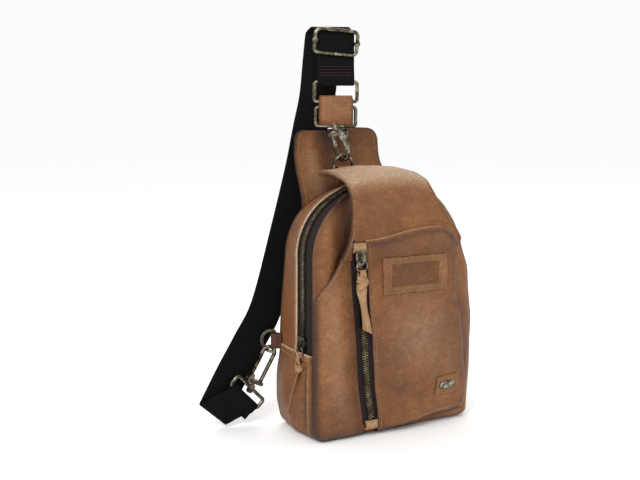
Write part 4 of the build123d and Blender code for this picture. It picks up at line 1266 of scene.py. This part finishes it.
def webbing_stations():
    """The strap from its sewn top end, through the strap ring, over the top and down to the side eye."""
    stations = [(strap_place(depth, z), ACROSS) for depth, z in TOP_LOOP]
    for k in range(9):
        angle = math.pi * k / 8
        place = strap_place(7.5 * (1 - math.cos(angle)), 412 + 7.5 * math.sin(angle), -12 * k / 8)
        stations.append((place, ACROSS))
    stations += [(mm(*centre), Vector(direction)) for centre, direction in LONG_RUN]
    for k in range(1, 6):
        angle = math.pi * k / 6
        reach = 3.05 * math.sin(angle)
        place = mm(-163.2 - 0.67 * reach, 54.95 + 3.05 * math.cos(angle), 18.0 - 0.742 * reach)
        stations.append((place, Vector((0.742, 0, -0.67))))
    for centre in ((-160.5, 51.9, 18.4), (-150, 52.0, 22)):
        stations.append((mm(*centre), Vector((0.725, 0, -0.69))))
    bar, up, along = Vector((-132.2, 50, 31.2)), Vector((0.724, 0, 0.69)), Vector((0.69, 0, -0.724))
    bend = [(2.0, -8), (2.4, -5), (3.3, -1)]
    for angle in (20, 60, 90, 120, 160, 200):
        bend.append((3.3 * math.cos(math.radians(angle)), 3.3 * math.sin(math.radians(angle))))
    bend += [(-1.9, -6), (0.1, -9.5), (0.15, -16)]
    return stations + [((bar + up * height + Vector((0, depth, 0))) * MM, along) for depth, height in bend]


def build_webbing():
    strap, length = ribbon_piece(
        "strap_webbing", webbing_stations(), 6, WEBBING_WIDTH, 17, WEBBING_THICKNESS, webbing_cloth,
        "webbing", square=False, woven=True,
        replaces=["webbing_loop", "webbing_top_bend", "webbing_upper_run", "webbing_lower_run", "webbing_fold",
                  "webbing_return"])
    rows = [[(strap_place(table_value(SEWN_FACE, z), z, shift), -BEHIND) for shift in range(-17, 18)]
            for z in (378, 374.8, 371.6, 368.8)]
    stitch_piece("webbing_stitches", rows, thread_red, pitch=2.4, gap=0.8, radius=0.3, slot="webbing")


KEEPER = [(1.4, 315.2), (3.2, 321), (3.9, 326), (4.1, 332), (4.2, 339), (3.9, 343.6), (2.2, 346.0),
          (0, 346.9), (-2.2, 346.0), (-3.9, 343.6), (-4.2, 339), (-4.2, 332), (-4.0, 326),
          (-3.5, 320.5), (-2.6, 316.6)]
SIDE_TAB = [(-96.9, 31), (-98.6, 33), (-102.0, 35), (-104.1, 38), (-102.9, 40.7), (-100.8, 41.3),
            (-98.6, 40.4), (-97.7, 38), (-96.6, 35.6), (-95.6, 34)]
TOP_TAB = [(45.6, 250), (45.4, 258), (46.2, 266), (46.6, 269.5), (48, 271), (49.6, 271.3), (51.6, 270.4),
           (52.6, 268), (51.4, 262), (49.6, 254), (48.6, 250)]
TAB_WIDTH, TAB_THICKNESS = 15, 1.8


def keeper_wear(u, t):
    return 0.15 - 0.6 * rise(0.42, 0.5, abs(u - 0.5)) - 0.3 * rise(0.3, 0.5, abs(t - 0.5))


def build_keeper_and_tabs():
    """The keeper around the strap, and the two folded tabs that hold the D rings."""
    stations = [(strap_place(depth * 0.93, z), ACROSS) for depth, z in KEEPER]
    ribbon_piece("keeper_leather", stations, 6, lambda t: 35.8 - 1.6 * math.sin(math.pi * t) ** 8, 21, 1.5,
                 leather, shade_and_wear_at=keeper_wear, replaces=["keeper_loop"])
    stations = [(Vector((x, y, 91)) * MM, Vector((0, 0, 1))) for x, y in SIDE_TAB]
    ribbon_piece("side_ring_leather", stations, 6, TAB_WIDTH, 9, TAB_THICKNESS, leather,
                 shade_and_wear_at=lambda u, t: -0.7, replaces=["side_ring_tab"])
    stations = [(mm(-9.6, y, z), Vector((1, 0, 0))) for y, z in TOP_TAB]
    ribbon_piece("top_ring_leather", stations, 6, TAB_WIDTH, 9, TAB_THICKNESS, leather,
                 replaces=["top_ring_tab"])


THONG_LOOP = [(1.6, 7.5), (2.6, 3), (2.5, -0.2), (1.1, -1.7), (0, -2.0), (-1.1, -1.7), (-2.5, -0.2),
              (-2.6, 3), (-1.6, 7.5)]
THONG_THICKNESS = 1.6


def build_thong(name, pull, across, out, tail, width, scale):
    """A flat thong looped through its pull ring, knotted below it, with one twisted tail cut on the slant."""
    low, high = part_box(f"{pull}_ring")
    top = (low + high) * 0.5 / MM - Vector((0, 0, 6))
    down = Vector((0, 0, -1))

    def place(side, depth, drop):
        return (top + across * side + out * depth + down * drop) * MM

    stations = [(place(0, depth, drop), across) for depth, drop in THONG_LOOP]
    ribbon_piece(name + "_loop", stations, 5, lambda t: 5.0 + 2.6 * scale * abs(2 * t - 1) ** 2, 7, 1.5, lace,
                 "thong_leather", body=pull, replaces=[f"{pull}_thong"])
    for index, (tilt, drop) in enumerate(((0.5, 8.6), (-0.55, 11.0))):
        stations = []
        for k in range(17):
            angle = 2 * math.pi * k / 16
            side = math.cos(angle) * 4.1 * scale
            direction = (down * -1 + across * (tilt * 0.6)).normalized()
            stations.append((place(side, math.sin(angle) * 3.0 + 1.2, drop + side * tilt), direction))
        ribbon_piece(f"{name}_knot_{index + 1}", stations, 4, (4.6 - index * 0.4) * scale, 7, THONG_THICKNESS,
                     lace, "thong_leather", body=pull)
    stations = []
    for side, depth, drop, turn in tail:
        direction = across * math.cos(math.radians(turn)) + out * math.sin(math.radians(turn))
        stations.append((place(side, depth, drop), direction))
    ribbon_piece(name + "_tail", stations, 8, width, 9, THONG_THICKNESS, lace, "thong_leather", edge_cut=7,
                 shade_and_wear_at=lambda u, t: 0.25 * (1 - abs(2 * u - 1)), body=pull)


build_webbing()
build_keeper_and_tabs()
build_thong(
    "pocket_thong", "pocket_pull", Vector((math.cos(ZIP_LEAN), 0, math.sin(ZIP_LEAN))), Vector((0, -1, 0)),
    [(0, 0, 11, 10), (-1.0, 1.2, 17, 28), (0.2, 1.4, 26, -12), (2.4, 1.0, 38, -24), (4.2, 1.6, 50, -10),
     (5.4, 2.4, 60, 4)], 9.2, 1.3)
build_thong(
    "main_thong", "main_pull", Vector((0, -1, 0)), Vector((-1, 0, 0)),
    [(0, 0, 11, 20), (-1.2, 1.2, 16, 45), (-4.5, 1.8, 26, 62), (-9, 2.0, 38, 66), (-13.5, 2.4, 50, 62),
     (-16, 2.6, 57, 58)], 6.4, 1.1)

# ---- lining, foam and board inside


def build_lining():
    for name, place, total, rows, replaced in (("lining_arch", arch_place, ARCH_RUN, 120, ["main_lining"]),
                                               ("lining_base", base_place, BASE_RUN, 90, [])):
        grid = side_grid(place, total, rows, spread(12), -31, 31, lambda u, z: -5.2)
        sheet_piece(name, grid, CLOTH, lining_cloth, "lining", replaces=replaced, flip=place is arch_place)


def build_inner_layers():
    """The upright layers just inside the front and the back."""
    for name, surface, inset, thickness, material, slot, replaced in (
        ("lining_front", lambda x, z: front_base(x, z) + 5.5, 9, CLOTH, lining_cloth, "lining", []),
        ("lining_back", lambda x, z: 31.5, 15, CLOTH, lining_cloth, "lining", []),
        ("back_foam_pad", lambda x, z: 32.5, 15, 3.6, foam, "foam", ["back_pad_foam"]),
    ):
        def wide(z):
            return outline_x(z + rear_inset(z)) - inset - 0.4 * rear_inset(z)

        upright_sheet(name, lambda z: -wide(z), wide, (inset, TOP_HEIGHT - inset - 12), spread(60, 0.6),
                      spread(40), surface, -thickness, material, slot=slot, replaces=replaced)


build_lining()
build_inner_layers()
upright_sheet("pocket_lining_cloth", lambda z: right_edge_of_zip(z) + 3, lambda z: pocket_right_x(z) - 8,
              (12, 196), spread(60), spread(40), lambda x, z: pocket_y(x, z) + 3.0, 0.7, lining_cloth,
              slot="lining", replaces=["pocket_lining"])

# ---- pieces kept from the frame

for name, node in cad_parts.items():
    if "slider" in name:
        material = zip_brass_body
    elif name == "inner_slip_pocket":
        material = lining_cloth
    elif name == "base_stiffener":
        material = board
    elif any(word in name for word in ("ring", "hook", "eye", "stud", "adjuster")) and "tab" not in name:
        material = antique_brass
    else:
        continue
    for slot in node.material_slots:
        slot.material = material
